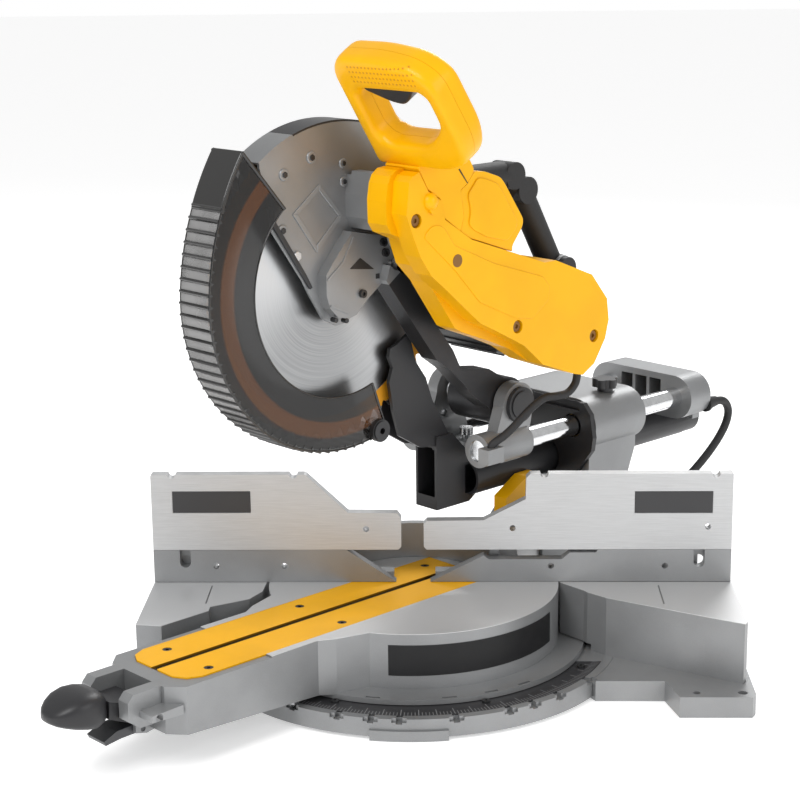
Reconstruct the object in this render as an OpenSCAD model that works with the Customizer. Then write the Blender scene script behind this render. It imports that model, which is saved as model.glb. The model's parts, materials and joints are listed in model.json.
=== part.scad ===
// Sliding compound mitre saw, double bevel, 300 mm blade.
// Row frame: origin in the middle of the four bench bolts, on the bench; X to the operator's right, Y to the
// rear, Z up. Side outlines are lists of [reach, height]: reach runs from the mitre axis along the arm towards
// the operator, height is above the table top.

/* [Base] */
// Height of the table top above the bench
table_h = 81; // [78:0.5:86]
// Radius of the round table
table_r = 145.5; // [144:0.5:147]
// Outer radius of the scale ring of the base
ring_r = 204; // [203:0.5:208]
// Height of the scale ring
ring_h = 21; // [20.5:0.1:22]
// Mitre axis to the left end of the base
left_reach = 262; // [258:1:268]
// Mitre axis to the right end of the base
right_reach = 319; // [315:1:326]
// Left end of the base to the left bench bolts
bolt_inset = 8; // [7.5:0.5:9]
// Distance between the front and rear bench bolts
bolt_pitch_y = 240; // [232:1:244]
// Diameter of a bench bolt hole
bolt_hole_d = 9; // [7:0.5:10]

/* [Fence] */
// Height of the fence above the table
fence_h = 113; // [108:0.5:118]
// Height of the fixed lower fence above the table
lower_fence_h = 34; // [33:0.5:36]
// Thickness of the fence plates
fence_t = 12; // [11:0.5:13]
// Travel of each sliding fence
fence_travel = 100; // [60:1:104]

/* [Arm] */
// Mitre angle at rest, towards the left
rest_mitre = 45; // [40:0.5:46]
// Mitre axis to the front end of the arm
arm_len = 340; // [336:1:344]
// Half width of the arm
arm_half = 53; // [51:0.5:55]
// Half width of the kerf plates
plate_half = 45; // [43:0.5:47]
// Width of the kerf slot
kerf_w = 7; // [6:0.1:8]
// Thickness of the kerf plates
plate_t = 5; // [4:0.1:6]

/* [Slide] */
// Diameter of the slide rails
rail_d = 22; // [20:0.5:24]
// Distance between the rail axes
rail_pitch = 94; // [90:0.5:96]
// Height of the rail axes above the table
rail_h = 137; // [135:0.5:140]
// Running clearance of the rails and shafts in their bores
run_clear = 0.05; // [0.02:0.01:0.09]
// Length of the fixed rail housing along the rails
housing_len = 80; // [74:1:84]

/* [Head] */
// Diameter of the saw blade
blade_d = 300; // [290:1:301]
// Plate thickness of the saw blade
blade_t = 2.4; // [1.8:0.1:2.8]
// Diameter of the arbor
arbor_d = 25.4; // [24:0.1:26]
// Diameter of the head pivot pin
pivot_d = 16; // [14:0.5:18]
// Diameter of the drive pulleys
pulley_d = 26; // [22:0.5:27]
// Outer diameter of the carrying handle tube
carry_d = 26; // [22:0.5:28]
// Gap between pieces that pass each other
gap = 0.3; // [0.2:0.05:0.4]

/* [Hidden] */

$fn = 64;
bolt_pitch_x = left_reach + right_reach - 2 * bolt_inset + 1;
mitre_x = left_reach - bolt_inset - bolt_pitch_x / 2;
mitre_y = 20;
far = 1000;

arbor = [106, 320];
pivot = [-96, 177];
motor = [-108, 271];
layshaft = [60, 365];
yoke_front = -44;
yoke_rear = -108;
housing_front = -190;
housing_rear = housing_front - housing_len;
cap_front = -352;
cap_rear = -386;
duct_h = 98;
duct_x = 8;
duct_r = 19;

module at_mitre() { translate([mitre_x, mitre_y, 0]) children(); }
module on_arm() { at_mitre() rotate([0, 0, -rest_mitre]) children(); }
function side(p) = [-p[0], table_h + p[1]];
function sides(list) = [for (p = list) side(p)];
function polar(c, r, a) = [c[0] + r * cos(a), c[1] + r * sin(a)];
function arc(c, r, a0, a1, n) = [for (i = [0:n]) polar(c, r, a0 + (a1 - a0) * i / n)];

// A side outline of [reach, height] points between two distances from the blade plane
module slab(x0, x1, list) {
  translate([x0, 0, 0]) rotate([90, 0, 90]) linear_extrude(x1 - x0) polygon(sides(list));
}
// A round bar along the blade axis direction, at [reach, height]
module cross_bar(x0, x1, c, r) {
  translate([x0, -c[0], table_h + c[1]]) rotate([0, 90, 0]) cylinder(h = x1 - x0, r = r);
}
// A round bar along the arm, from the nearer to the farther reach
module long_bar(x, h, reach0, reach1, r) {
  translate([x, -reach0, table_h + h]) rotate([-90, 0, 0]) cylinder(h = reach0 - reach1, r = r);
}
// An upright round bar at [x, y]
module post(x, y, z0, z1, r) { translate([x, y, z0]) cylinder(h = z1 - z0, r = r); }

// ---- Base ----
detent_zero = 12.3;
detents = [0, -15, 15, -22.5, 22.5, -31.6, 31.6, -45, 45];
track_z = 20.3;
wing_rear = 34;
bolt_x = bolt_pitch_x / 2;
bolt_y = bolt_pitch_y / 2;

// Front edge of the right wing lies beside the arm at its right stop
function beside_arm(s) = [s * cos(30) + (arm_half + 2) * cos(60), -s * sin(30) + (arm_half + 2) * sin(60)];

module left_wing_top() {
  polygon([[-146, wing_rear], [-150, -27], [-161, -49], [-left_reach + 65, -71], [-left_reach + 65, -82], [-left_reach + 25, -123],
    [-left_reach, -119], [-left_reach, wing_rear]]);
}
module right_wing_top() {
  polygon([[146, wing_rear], [146, -6], beside_arm(188), beside_arm(right_reach * 1.155 - 36),
    [right_reach, -112], [right_reach, wing_rear]]);
}
module wing_hollows() {
  translate([0, 0, -1]) linear_extrude(table_h - 5) {
    polygon([[right_reach - 6, 28], [right_reach - 6, -106], [200, -43], [190, -28], [212, 28]]);
    polygon([[-left_reach + 6, 28], [-left_reach + 6, -111], [-left_reach + 27, -114], [-left_reach + 59, -80],
      [-left_reach + 59, -66], [-left_reach + 50, 28]]);
  }
}
module foot_flange(side) {
  reach = side > 0 ? right_reach : left_reach;
  inner = side > 0 ? 77 : 27;
  linear_extrude(ring_h - 0.5) polygon([
    [side * 150, -60], [side * 176, -112], [side * (reach - inner), -112], [side * (reach - inner + 10), -151],
    [side * (reach + 1), -151], [side * (reach + 5), -143], [side * (reach + 5), 118],
    [side * (reach - 2), 125], [side * (reach - inner), 125], [side * 150, 60]]);
}
module base_casting() {
  color("silver") at_mitre() difference() {
    union() {
      translate([0, 0, 3]) cylinder(h = 5, r = ring_r);
      difference() {
        translate([0, 0, 3]) cylinder(h = ring_h - 3, r = ring_r);
        translate([0, 0, 2]) cylinder(h = ring_h, r = 158);
      }
      difference() {
        translate([0, 0, 3]) cylinder(h = track_z - 3, r = 152);
        translate([0, 0, 2]) cylinder(h = track_z, r = 132);
      }
      translate([0, 0, 3]) cylinder(h = track_z - 3, r = 30);
      // front foot
      intersection() {
        difference() {
          cylinder(h = 10, r = ring_r + 2.5);
          translate([0, 0, -1]) cylinder(h = 12, r = 188);
        }
        translate([-37, -ring_r - 5, 0]) cube([73, 60, 10]);
      }
      difference() {
        union() {
          for (side = [-1, 1]) foot_flange(side);
          linear_extrude(table_h) left_wing_top();
          linear_extrude(table_h) right_wing_top();
        }
        translate([0, 0, -1]) cylinder(h = ring_h + 0.5, r = 160);
        translate([0, 0, ring_h - 0.5]) cylinder(h = 7, r = 180);
        translate([0, 0, 27]) cylinder(h = table_h, r = 147.5);
        wing_hollows();
      }
    }
    // recess of the scale plate
    translate([0, 0, ring_h - 1.6]) scale_sector(165.5, 195.5, 3);
    // detent notches and their wider outer pockets
    for (d = concat(detents, [-50])) rotate([0, 0, detent_zero + d]) translate([0, -ring_r, ring_h]) {
      translate([-3, -4, -5]) cube([6, 13, 10]);
      translate([-7, -4, -3.5]) cube([14, 7, 10]);
    }
    // room for the shoulder of the arm at its right stop
    rotate([0, 0, 60]) translate([0, 0, ring_h + 6.2]) linear_extrude(table_h) polygon([[40, -96], [arm_half + 1, -98.5],
      [73.4, -125.6], [63.1, -159.6], [arm_half + 1, -175.5], [40, -175.5]]);
    // the wings sit a little lower behind the fence face
    for (side = [-1, 1]) translate([side > 0 ? 140 : -left_reach - 1, -0.6, table_h - 0.3])
      cube([side > 0 ? right_reach : left_reach - 139, 60, 2]);
    // bench bolts, fence bolts, pivot bore
    for (x = [-bolt_x, bolt_x]) for (y = [-bolt_y, bolt_y])
      translate([x - mitre_x, y - mitre_y, -1]) cylinder(h = 60, d = bolt_hole_d);
    for (x = fence_bolt_x) translate([x, fence_t + 8, 60]) cylinder(h = 60, r = 3.3);
    translate([0, 0, -1]) cylinder(h = 40, r = 6 + run_clear);
    translate([0, 0, -1]) cylinder(h = 9, r = 14);
    // shallow grooves on the wing tops
    translate([right_reach - 75, -64, table_h - 1]) cube([1.5, 54, 2]);
    translate([-left_reach + 59, -62, table_h - 1]) cube([1.5, 52, 2]);
    translate([right_reach - 50, -140, -1]) cylinder(h = 40, r = 3.4);
  }
}
module scale_sector(r0, r1, h) {
  difference() {
    cylinder(h = h, r = r1);
    translate([0, 0, -1]) cylinder(h = h + 2, r = r0);
    translate([-300, -62, -1]) cube([600, 400, h + 2]);
  }
}
scale_screw_at = [[177, -23.5], [177, 23.5], [181, 65]];
module scale_plate() {
  color("dimgray") at_mitre() difference() {
    translate([0, 0, ring_h - 1.6]) scale_sector(166, 195, 1.2);
    for (s = scale_screw_at) rotate([0, 0, s[1]]) translate([0, -s[0], ring_h - 3]) cylinder(h = 6, r = 2.2);
  }
}
module scale_screws() {
  color("black") at_mitre() for (s = scale_screw_at)
    rotate([0, 0, s[1]]) translate([0, -s[0], ring_h - 0.4]) difference() {
      cylinder(h = 2, r = 4);
      translate([0, 0, 0.8]) cylinder(h = 2, r = 1.6, $fn = 6);
    }
}
module mitre_pivot_bolt() {
  color("gray") at_mitre() {
    translate([0, 0, 8]) cylinder(h = 54, r = 6);
    translate([0, 0, 1.5]) cylinder(h = 6.5, r = 11, $fn = 6);
    translate([0, 0, 46.5]) cylinder(h = 3, r = 12);
    translate([0, 0, 49.5]) cylinder(h = 8, r = 10, $fn = 6);
  }
}

// ---- Fences: x runs from the mitre axis, height from the table ----
module face(list, y0, y1) {
  translate([0, y1, table_h]) rotate([90, 0, 0]) linear_extrude(y1 - y0) polygon(list);
}
module face_hole(x, h, y0, y1, r) {
  translate([x, y1, table_h + h]) rotate([90, 0, 0]) cylinder(h = y1 - y0, r = r);
}
fence_seat = 0.3;
bridge_r = 78;
bridge_h = 37;
lug_depth = 9;
stud_h = 51;
left_knob_x = -left_reach + 44;
right_knob_x = right_reach - 51;
fence_bolt_x = [-left_reach + 16, -left_reach + 86, right_reach - 119, right_reach - 19];
module knob_lug(x) {
  face([[x - 18, 8], [x + 18, 8], [x + 18, 60], [x - 18, 60]], fence_t + gap, fence_t + gap + lug_depth);
  face([[x - 18, fence_seat], [x + 18, fence_seat], [x + 18, lower_fence_h - 8], [x - 18, lower_fence_h - 8]],
    fence_t - 1, fence_t + gap + lug_depth);
}
module lower_fence() {
  low = lower_fence_h;
  color("lightgray") at_mitre() difference() {
    union() {
      face([[-left_reach, fence_seat], [-17.5, fence_seat], [-67, low], [-left_reach, low]], 0, fence_t);
      face([[right_reach - 1, fence_seat], [17, fence_seat], [70.6, 28], [75.7, 24], [149, 24], [157, 31],
        [183, 31], [185, low], [right_reach - 1, low]], 0, fence_t);
      // feet, and the bridge that joins both halves behind the blade
      translate([-left_reach + 4, fence_t - 1, table_h + fence_seat]) cube([left_reach - 24, 15, 7]);
      translate([22, fence_t - 1, table_h + fence_seat]) cube([right_reach - 26, 15, 7]);
      translate([0, 0, table_h + fence_seat]) difference() {
        cylinder(h = bridge_h, r = bridge_r + 9);
        translate([0, 0, -1]) cylinder(h = bridge_h + 2, r = bridge_r);
        translate([-200, -300 + fence_t + 2, -1]) cube([400, 300, bridge_h + 2]);
      }
      knob_lug(left_knob_x);
      knob_lug(right_knob_x);
    }
    for (x = [left_knob_x, right_knob_x]) face_hole(x, stud_h, 0, 40, 4 + run_clear);
    for (x = [-left_reach + 32, right_reach - 33]) {
      face_hole(x, 21, -1, fence_t + 1, 5.5);
      face([[x - 5.5, 21], [x + 5.5, 21], [x + 5.5, low + 1], [x - 5.5, low + 1]], -1, fence_t - 4);
    }
    for (x = [-left_reach + 63, -130, 138, right_reach - 67]) face_hole(x, 17, -1, 30, 3.2);
    for (x = fence_bolt_x) translate([x, fence_t + 8, 60]) cylinder(h = 60, r = 3.4);
  }
}
module fence_bolts() {
  color("dimgray") at_mitre() for (x = fence_bolt_x) translate([x, fence_t + 8, table_h + fence_seat + 7]) {
    difference() {
      cylinder(h = 5, r = 5.2);
      translate([0, 0, 2]) cylinder(h = 4, r = 2.9, $fn = 6);
    }
    translate([0, 0, -20]) cylinder(h = 20.2, r = 3.2);
  }
}
upper_seat = 0.3;
module fence_channel(x0, x1) {
  face([[x0, stud_h - 5], [x1, stud_h - 5], [x1, stud_h + 5], [x0, stud_h + 5]], fence_t - 5, fence_t + 1);
}
module left_sliding_fence() {
  low = lower_fence_h + upper_seat;
  color("lightgray") at_mitre() difference() {
    face([[-left_reach, low], [-15, low], [-12, low + 3], [-12, 67], [-16, 72.5], [-65, 73], [-106, fence_h - 1],
      [-108, fence_h], [-left_reach + 1, fence_h], [-left_reach, fence_h - 1]], 0, fence_t);
    fence_channel(left_knob_x - 6, left_knob_x + fence_travel + 6);
    for (x = [-left_reach + 21, -119]) face_hole(x, fence_h, -1, fence_t + 1, 4);
    face_hole(-47, 56, -1, fence_t + 1, 3.2);
    face([[-left_reach + 21, 73], [-left_reach + 100, 73], [-left_reach + 100, 96], [-left_reach + 21, 96]], -1, 0.8);
  }
}
module right_sliding_fence() {
  low = lower_fence_h + upper_seat;
  color("lightgray") at_mitre() difference() {
    face([[13.5, low], [right_reach - 1, low], [right_reach - 1, fence_h - 1], [right_reach - 2, fence_h],
      [117, fence_h], [113, 109], [112.5, 87], [70.6, 65], [14, 64.5], [10.6, 61], [10.6, low + 3]], 0, fence_t);
    fence_channel(right_knob_x - fence_travel - 6, right_knob_x + 6);
    for (x = [131, right_reach - 18]) face_hole(x, fence_h, -1, fence_t + 1, 4);
    face_hole(99.7, 56.7, -1, fence_t + 1, 3.2);
    face_hole(right_reach - 25, 58, -1, fence_t + 1, 3.2);
    face([[right_reach - 98.5, 72], [right_reach - 20.5, 72], [right_reach - 20.5, 95], [right_reach - 98.5, 95]], -1, 0.8);
  }
}
module fence_knob(x) {
  stud_from = fence_t - 4.6;
  knob_from = fence_t + gap + lug_depth + gap;
  face_hole(x, stud_h, stud_from, knob_from + 2, 4);
  difference() {
    union() {
      face_hole(x, stud_h, knob_from, knob_from + 14, 9);
      for (a = [0:60:300]) translate([x, 0, table_h + stud_h]) rotate([0, a, 0])
        translate([9, knob_from + 3, -3]) cube([4, 11, 6]);
      face_hole(x, stud_h, knob_from + 3, knob_from + 14, 11);
    }
    face_hole(x, stud_h, knob_from + 12, knob_from + 16, 5);
  }
}
module left_fence_knob() { color("black") at_mitre() fence_knob(left_knob_x); }
module right_fence_knob() { color("black") at_mitre() fence_knob(right_knob_x); }

// ---- Turntable and arm ----
plate_front = -322;
plate_rear = 66;
trench = 20;
solid_top = 26;
lock_axis = [356, -22];
latch_axis = [350, -44];
trunnion_r = 34;
pawl_angle = 12.3;
module cut_along(x0, x1, y0, y1, h0, h1) {
  translate([x0, y0, table_h + h0]) cube([x1 - x0, y1 - y0, h1 - h0]);
}
module plate_plan(side, slack) {
  w = plate_half - slack;
  polygon([[0, plate_front + slack], [side * (w - 18), plate_front + slack], [side * (w - 6), plate_front + 7],
    [side * w, plate_front + 20], [side * w, plate_rear - slack], [0, plate_rear - slack]]);
}
plate_screw_at = [[-29, -286], [33, -286], [-29, -126], [33, -126], [-29, 44], [33, 44]];
module turntable() {
  w = arm_half;
  color("silver") on_arm() difference() {
    union() {
      translate([0, 0, track_z + 0.3]) cylinder(h = table_h - track_z - 0.3, r = table_r);
      translate([0, 0, ring_h + gap]) cylinder(h = 5, r = 172);
      intersection() {
        linear_extrude(table_h) polygon([[-w, -100], [-72, -126], [-61.8, -158.7], [-w, -174], [-w, -326], [-w + 14, -340],
          [w - 14, -340], [w, -326], [w, -174], [61.8, -158.7], [72, -126], [w, -100]]);
        slab(-90, 90, [[90, -59], [90, 0], [229, 0], [229, -1.5], [341, -1.5], [341, 35 - table_h],
          [150, 25 - table_h], [146, 22 - table_h]]);
      }
      // cheeks that carry the lock handle, shelf, and the latch lugs
      for (s = [-1, 1]) slab(s > 0 ? 21 : -35, s > 0 ? 35 : -21, [[330, -34], [330, -1.5], [370, -1.5], [376, -8], [376, -25], [364, -34]]);
      slab(21, w, [[330, -26], [330, -17], [364, -18], [364, -24]]);
      for (s = [-1, 1]) slab(s > 0 ? 15 : -19, s > 0 ? 19 : -15, [[330, -38], [358, -38], [358, -46], [346, -49], [330, -46]]);
      // bevel trunnion
      long_bar(0, 0, -118, -150, trunnion_r);
    }
    difference() {
      translate([0, 0, 0]) cylinder(h = table_h - solid_top, r = 134);
      cylinder(h = table_h, r = 28);
      for (a = [0:60:150]) rotate([0, 0, a]) translate([-200, -3, 24]) cube([400, 6, 80]);
    }
    // hollow under the arm, with the pawl guide left standing
    difference() {
      cut_along(-w + 6, w - 6, -330, -152, -100, -solid_top);
      rotate([0, 0, pawl_angle]) translate([-9, -ring_r - 6, 32]) cube([18, 20, 60]);
    }
    rotate([0, 0, pawl_angle]) translate([-2.85, -ring_r + 0.35, 0]) cube([5.7, 7.3, 50]);
    for (a = [33, 57.5, 71.7, 84.4]) rotate([0, 0, a]) translate([-7, -170, 10]) cube([14, 3, 30]);
    translate([0, 0, table_h - plate_t]) linear_extrude(20) for (s = [-1, 1]) plate_plan(s, 0);
    cut_along(-trench, trench, plate_front + 8, plate_rear - 8, -20, 1);
    for (p = plate_screw_at) translate([p[0], p[1], table_h - 18]) cylinder(h = 30, r = 2.5);
    cylinder(h = table_h + 1, r = 6 + run_clear);
    translate([0, 0, 46]) cylinder(h = 40, r = 13.5);
    // bevel bolt and the pocket of its head
    long_bar(0, 0, -90, -160, 8 + run_clear);
    long_bar(0, 0, -98, -118.2, 17);
    cut_along(-17, 17, 98, 118.2, 0, 30);
    // lock handle and latch bores, lock pin bore
    cross_bar(-60, 60, lock_axis, 4 + run_clear);
    cross_bar(-60, 60, latch_axis, 2.5 + run_clear);
    long_bar(0, -31, 350, 320, 5 + run_clear);
  }
}
module kerf_plate(s) {
  difference() {
    translate([0, 0, table_h - plate_t]) linear_extrude(plate_t - 0.2) plate_plan(s, gap);
    translate([0, 400, table_h]) rotate([90, 0, 0]) linear_extrude(900)
      polygon([[-kerf_w / 2, 1], [-kerf_w / 2, 0], [-kerf_w / 2 - 1.2 * plate_t, -plate_t - 0.1],
        [kerf_w / 2 + 1.2 * plate_t, -plate_t - 0.1], [kerf_w / 2, 0], [kerf_w / 2, 1]]);
    for (p = plate_screw_at) translate([p[0], p[1], table_h - 8]) cylinder(h = 12, r = 4.6);
  }
}
module left_kerf_plate() { color("gold") on_arm() kerf_plate(-1); }
module right_kerf_plate() { color("gold") on_arm() kerf_plate(1); }
module kerf_screws() {
  color("silver") on_arm() for (p = plate_screw_at) translate([p[0], p[1], table_h - plate_t]) {
    difference() {
      cylinder(h = plate_t - 0.6, r = 4.4);
      translate([0, 0, plate_t - 2.4]) cylinder(h = 4, r = 2, $fn = 6);
    }
    translate([0, 0, -12]) cylinder(h = 12.5, r = 2.4);
  }
}
module mitre_lock_handle() {
  c = lock_axis;
  color("black") on_arm() {
    cross_bar(-20.7, 20.7, c, 8.6);
    cross_bar(-33, 33, c, 4);
    slab(-17, 17, [[350, -15], [362, -13.5], [386, -4], [386, -29], [366, -30]]);
    slab(-26, 26, [[384.5, -28], [384.5, -3], [392, 3], [406, 4], [424, 0], [438, -9], [440, -15], [434, -20], [414, -27], [396, -32]]);
    slab(-30, 30, [[404, -26], [404, 1], [424, -2], [434, -10], [434, -16], [414, -24]]);
  }
}
module mitre_lock_pin() { color("gray") on_arm() long_bar(0, -31, 346.5, 214, 5); }
module mitre_latch() {
  color("dimgray") on_arm() {
    cross_bar(-14.6, 14.6, latch_axis, 4.6);
    cross_bar(-18.5, 18.5, latch_axis, 2.5);
    slab(-13, 13, [[350, -40], [374, -41], [388, -47], [386, -51], [370, -49], [350, -48.5]]);
  }
}
module detent_pawl() {
  color("gray") on_arm() rotate([0, 0, pawl_angle]) {
    translate([-2.7, -ring_r + 0.5, ring_h + 0.5]) cube([5.4, 7, 24]);
  }
}

// ---- Bevel support, rails and carriage ----
rail_x = rail_pitch / 2;
bush_t = 4;
house_r = rail_d / 2 + 17;
bevel_lever_y = 205;
module rail_pair(y0, y1, r) { for (x = [-rail_x, rail_x]) long_bar(x, rail_h, -y0, -y1, r); }
module rail_housing() {
  y0 = -housing_front;
  y1 = -housing_rear;
  color("gainsboro") on_arm() difference() {
    union() {
      long_bar(0, 0, -150.4, -192, trunnion_r + 2);
      slab(-38, 38, [[-150.4, 0], [-150.4, 30], [-162, 42], [-190, 62], [-190, 112], [-266, 112], [-250, 60],
        [-224, 26], [-201, 26], [-201, 0], [-192, -20]]);
      slab(-66, 66, [[-190, 70], [-190, 120], [-264, 120], [-264, 104], [-250, 70]]);
      rail_pair(y0, y1, house_r);
      cut_along(-rail_x, rail_x, y0, y1, rail_h - house_r, rail_h + house_r);
      long_bar(duct_x, duct_h, -y0, -y1, duct_r + 6);
      cut_along(25, 43, 160, 194, 57, 75);
    }
    rail_pair(y0 - 9, y1 + 9, rail_d / 2 + bush_t);
    long_bar(duct_x, duct_h, -150, -y1 - 30, duct_r + 3);
    long_bar(0, 0, -140, -240, 8 + run_clear);
    long_bar(34, 66, -150, -200, 5 + run_clear);
    cut_along(-26, 26, y0 + 12, y1 - 12, rail_h - 12, rail_h + 12);
    post(rail_x, -housing_front + 46, table_h + rail_h, table_h + rail_h + 60, 4 + run_clear);
  }
}
module housing_front_plate() {
  y0 = -housing_front;
  color("black") on_arm() difference() {
    face([[-74, 114], [-76, 128], [-72, 152], [-62, 163], [62, 163], [72, 152], [76, 128], [74, 114], [48, 80], [-34, 80]],
      y0 - 6, y0);
    rail_pair(y0 - 20, y0 + 1, rail_d / 2 + 1.5);
    long_bar(duct_x, duct_h, -y0 + 20, -y0 - 1, duct_r + 2);
    face([[-24, 126], [-24, 150], [24, 150], [24, 126]], y0 - 7, y0 - 4);
    // room for the yoke when it is slid right back
    face([[-57, 154.5], [-57, 170], [57, 170], [57, 154.5]], y0 - 7, y0 - 3);
  }
}
module rail_bushes() {
  color("goldenrod") on_arm() difference() {
    union() {
      rail_pair(-housing_front, -housing_front + 16, rail_d / 2 + bush_t);
      rail_pair(-housing_rear - 16, -housing_rear, rail_d / 2 + bush_t);
    }
    rail_pair(-housing_front - 9, -housing_rear + 9, rail_d / 2 + run_clear);
  }
}
module bevel_pivot_bolt() {
  color("gray") on_arm() {
    long_bar(0, 0, -112, -224, 8);
    translate([0, 106, table_h]) rotate([-90, 0, 0]) cylinder(h = 7, r = 14, $fn = 6);
  }
}
module bevel_clamp_lever() {
  y = bevel_lever_y;
  color("black") on_arm() difference() {
    union() {
      long_bar(0, 0, -y, -y - 14, 15);
      face([[-8, -8], [-62, -34], [-70, -30], [-72, -22], [-66, -16], [-6, 10]], y + 2, y + 12);
    }
    long_bar(0, 0, -y + 5, -y - 40, 8 + run_clear);
  }
}
module bevel_stop() {
  color("gold") on_arm() {
    slab(28, 45, [[-88, 60], [-88, 78], [-118, 95], [-138, 95], [-138, 60]]);
    long_bar(34, 66, -137, -188, 5);
  }
}
module rail_lock_knob() {
  y = -housing_front + 46;
  top = rail_h + house_r;
  color("black") on_arm() translate([rail_x, y, table_h + top + 0.4]) {
    cylinder(h = 4, r = 8);
    translate([0, 0, 4]) cylinder(h = 9, r = 10.5);
    for (a = [0:72:300]) rotate([0, 0, a]) translate([9, 0, 4]) cylinder(h = 9, r = 4.5);
    translate([0, 0, -15.5]) cylinder(h = 16, r = 4);
  }
}
module rails() { color("silver") on_arm() rail_pair(-yoke_front + 2, -cap_rear - 2, rail_d / 2); }
module rear_end_cap() {
  y0 = -cap_front;
  y1 = -cap_rear;
  color("silver") on_arm() difference() {
    union() {
      rail_pair(y0, y1, house_r - 4);
      cut_along(-rail_x, rail_x, y0, y1, rail_h - house_r + 4, rail_h + house_r - 4);
      cut_along(34, 56, y1 - 12, y1, 110, 120);
    }
    rail_pair(y0 - 5, y1 - 1.8, rail_d / 2 + 0.02);
    for (x = [-20, 0, 20]) cut_along(x - 8, x + 8, y0 - 1, y0 + 24, rail_h - 17, rail_h + 17);
    long_bar(duct_x, duct_h, -y0 + 5, -y1 - 5, duct_r + 0.4);
  }
}
yoke_in = 40;
lock_pin_at = [-84, 153.5];
stop_x = -14;
module yoke() {
  color("dimgray") on_arm() difference() {
    union() {
      rail_pair(-yoke_front, -yoke_rear, rail_d / 2 + 6);
      cut_along(-rail_x, rail_x, 78, 106, 118, 130);
      for (s = [-1, 1]) {
        x0 = s > 0 ? yoke_in : -yoke_in - 14;
        slab(x0, x0 + 14, [[-56, 128], [-108, 128], [-118, 177], [-74, 177]]);
        cross_bar(x0, x0 + 14, pivot, 22);
      }
      slab(60, 74, [[-54, 130], [-32, 130], [-32, 145], [-54, 145]]);
      // lug of the head lock pin
      cross_bar(-62, -50, lock_pin_at, 8);
    }
    rail_pair(0, 200, rail_d / 2 + 0.02);
    cross_bar(-90, 90, pivot, pivot_d / 2 + 0.02);
    cross_bar(-90, -30, lock_pin_at, 4 + run_clear);
    post(stop_x, 90, table_h + 100, table_h + 140, 4 + run_clear);
  }
}
module head_pivot_pin() {
  color("gray") on_arm() cross_bar(-55, 54, pivot, pivot_d / 2);
}
module pivot_cap() {
  color("black") on_arm() {
    cross_bar(54, 58.5, pivot, 18);
    cross_bar(58.5, 59.7, pivot, 14);
  }
}
module return_spring() {
  color("gray") on_arm() for (i = [0:3])
    translate([-36 + 3 * i, -pivot[0], table_h + pivot[1]]) rotate([0, 90, 0])
      rotate_extrude() translate([pivot_d / 2 + 2.2, 0]) circle(r = 1.55);
}
module depth_stop_bolt() {
  color("gray") on_arm() {
    post(stop_x, 90, table_h + 106, table_h + 136, 4);
    post(stop_x, 90, table_h + 135, table_h + 142, 7);
  }
}
module head_lock_pin() {
  color("black") on_arm() {
    cross_bar(-75, -42, lock_pin_at, 4);
    cross_bar(-87, -74, lock_pin_at, 9);
  }
}
duct_low = 74;
port_r = duct_r - 0.6;
module dust_duct() {
  color("black") on_arm() difference() {
    union() {
      slab(-16, 14, [[-20, duct_low], [-20, 150], [-42, 150], [-75, 116], [-75, 80], [-66, duct_low]]);
      slab(-14, 12, [[15, 260], [30, 252], [39, 249], [41, 241], [36, 230], [41, 216], [36, 187], [28, 160], [0, 143],
        [-21, 140], [-40, 148], [-30, 165], [-16, 190], [-8, 212.5], [5.5, 231], [11, 250], [11.5, 259]]);
      long_bar(duct_x, duct_h, -66, -404, duct_r);
      long_bar(duct_x, duct_h, -400, -424, port_r);
    }
    slab(-13, 11, [[-19, duct_low + 14], [-19, 136], [-40, 136], [-70, 112], [-70, 84], [-62, duct_low + 3], [-30, duct_low + 3]]);
    // the blade runs between the cheeks
    difference() {
      slab(-10, 8, [[80, 280], [80, 130], [-18, 130], [-18, 143], [-20, 150], [-60, 280]]);
      cross_bar(-11, 9, pivot, 95);
    }
    slab(-10, 8, [[-8, 120], [-8, 170], [-24, 160], [-24, 120]]);
    long_bar(duct_x, duct_h, -60, -430, duct_r - 3);
  }
}

// ---- Head ----
wall_r = blade_d / 2 + 1;
rim_r = wall_r + 1.8;
guard_r = rim_r + 0.6;
module ring_sector(x0, x1, c, r0, r1, a0, a1) {
  intersection() {
    difference() {
      cross_bar(x0, x1, c, r1);
      cross_bar(x0 - 1, x1 + 1, c, r0);
    }
    slab(x0 - 2, x1 + 2, [c, polar(c, 400, a0), polar(c, 500, (a0 + a1) / 2), polar(c, 400, a1)]);
  }
}
case_plate = [[-150, 248], [-158, 275], [-134, 310], [-93, 323], [-77, 324], [20, 357], [53, 380], [59, 400], [74, 410],
  [88, 424], [98, 420], [105, 404], [104, 388], [98, 378], [80, 370], [70, 346], [54, 329], [20, 281], [10, 276],
  [-22, 263], [-50, 252], [-76, 238], [-122, 222]];
gear_box = [[93, 426], [97, 405], [97, 384], [91, 373], [60, 373], [52, 380], [60, 402], [76, 412], [84, 426]];
lug = [[100, 371], [76, 366], [60, 362.5], [54, 355], [43.6, 332], [80, 307], [96, 293], [106, 290.5], [119, 294], [128, 303],
  [132, 315], [132.3, 334.5], [124, 345]];
lug_x = 28;
lock_button = [53.5, 336];
gear_screw_at = [[62, 357], [59.5, 347], [89, 312]];
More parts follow.
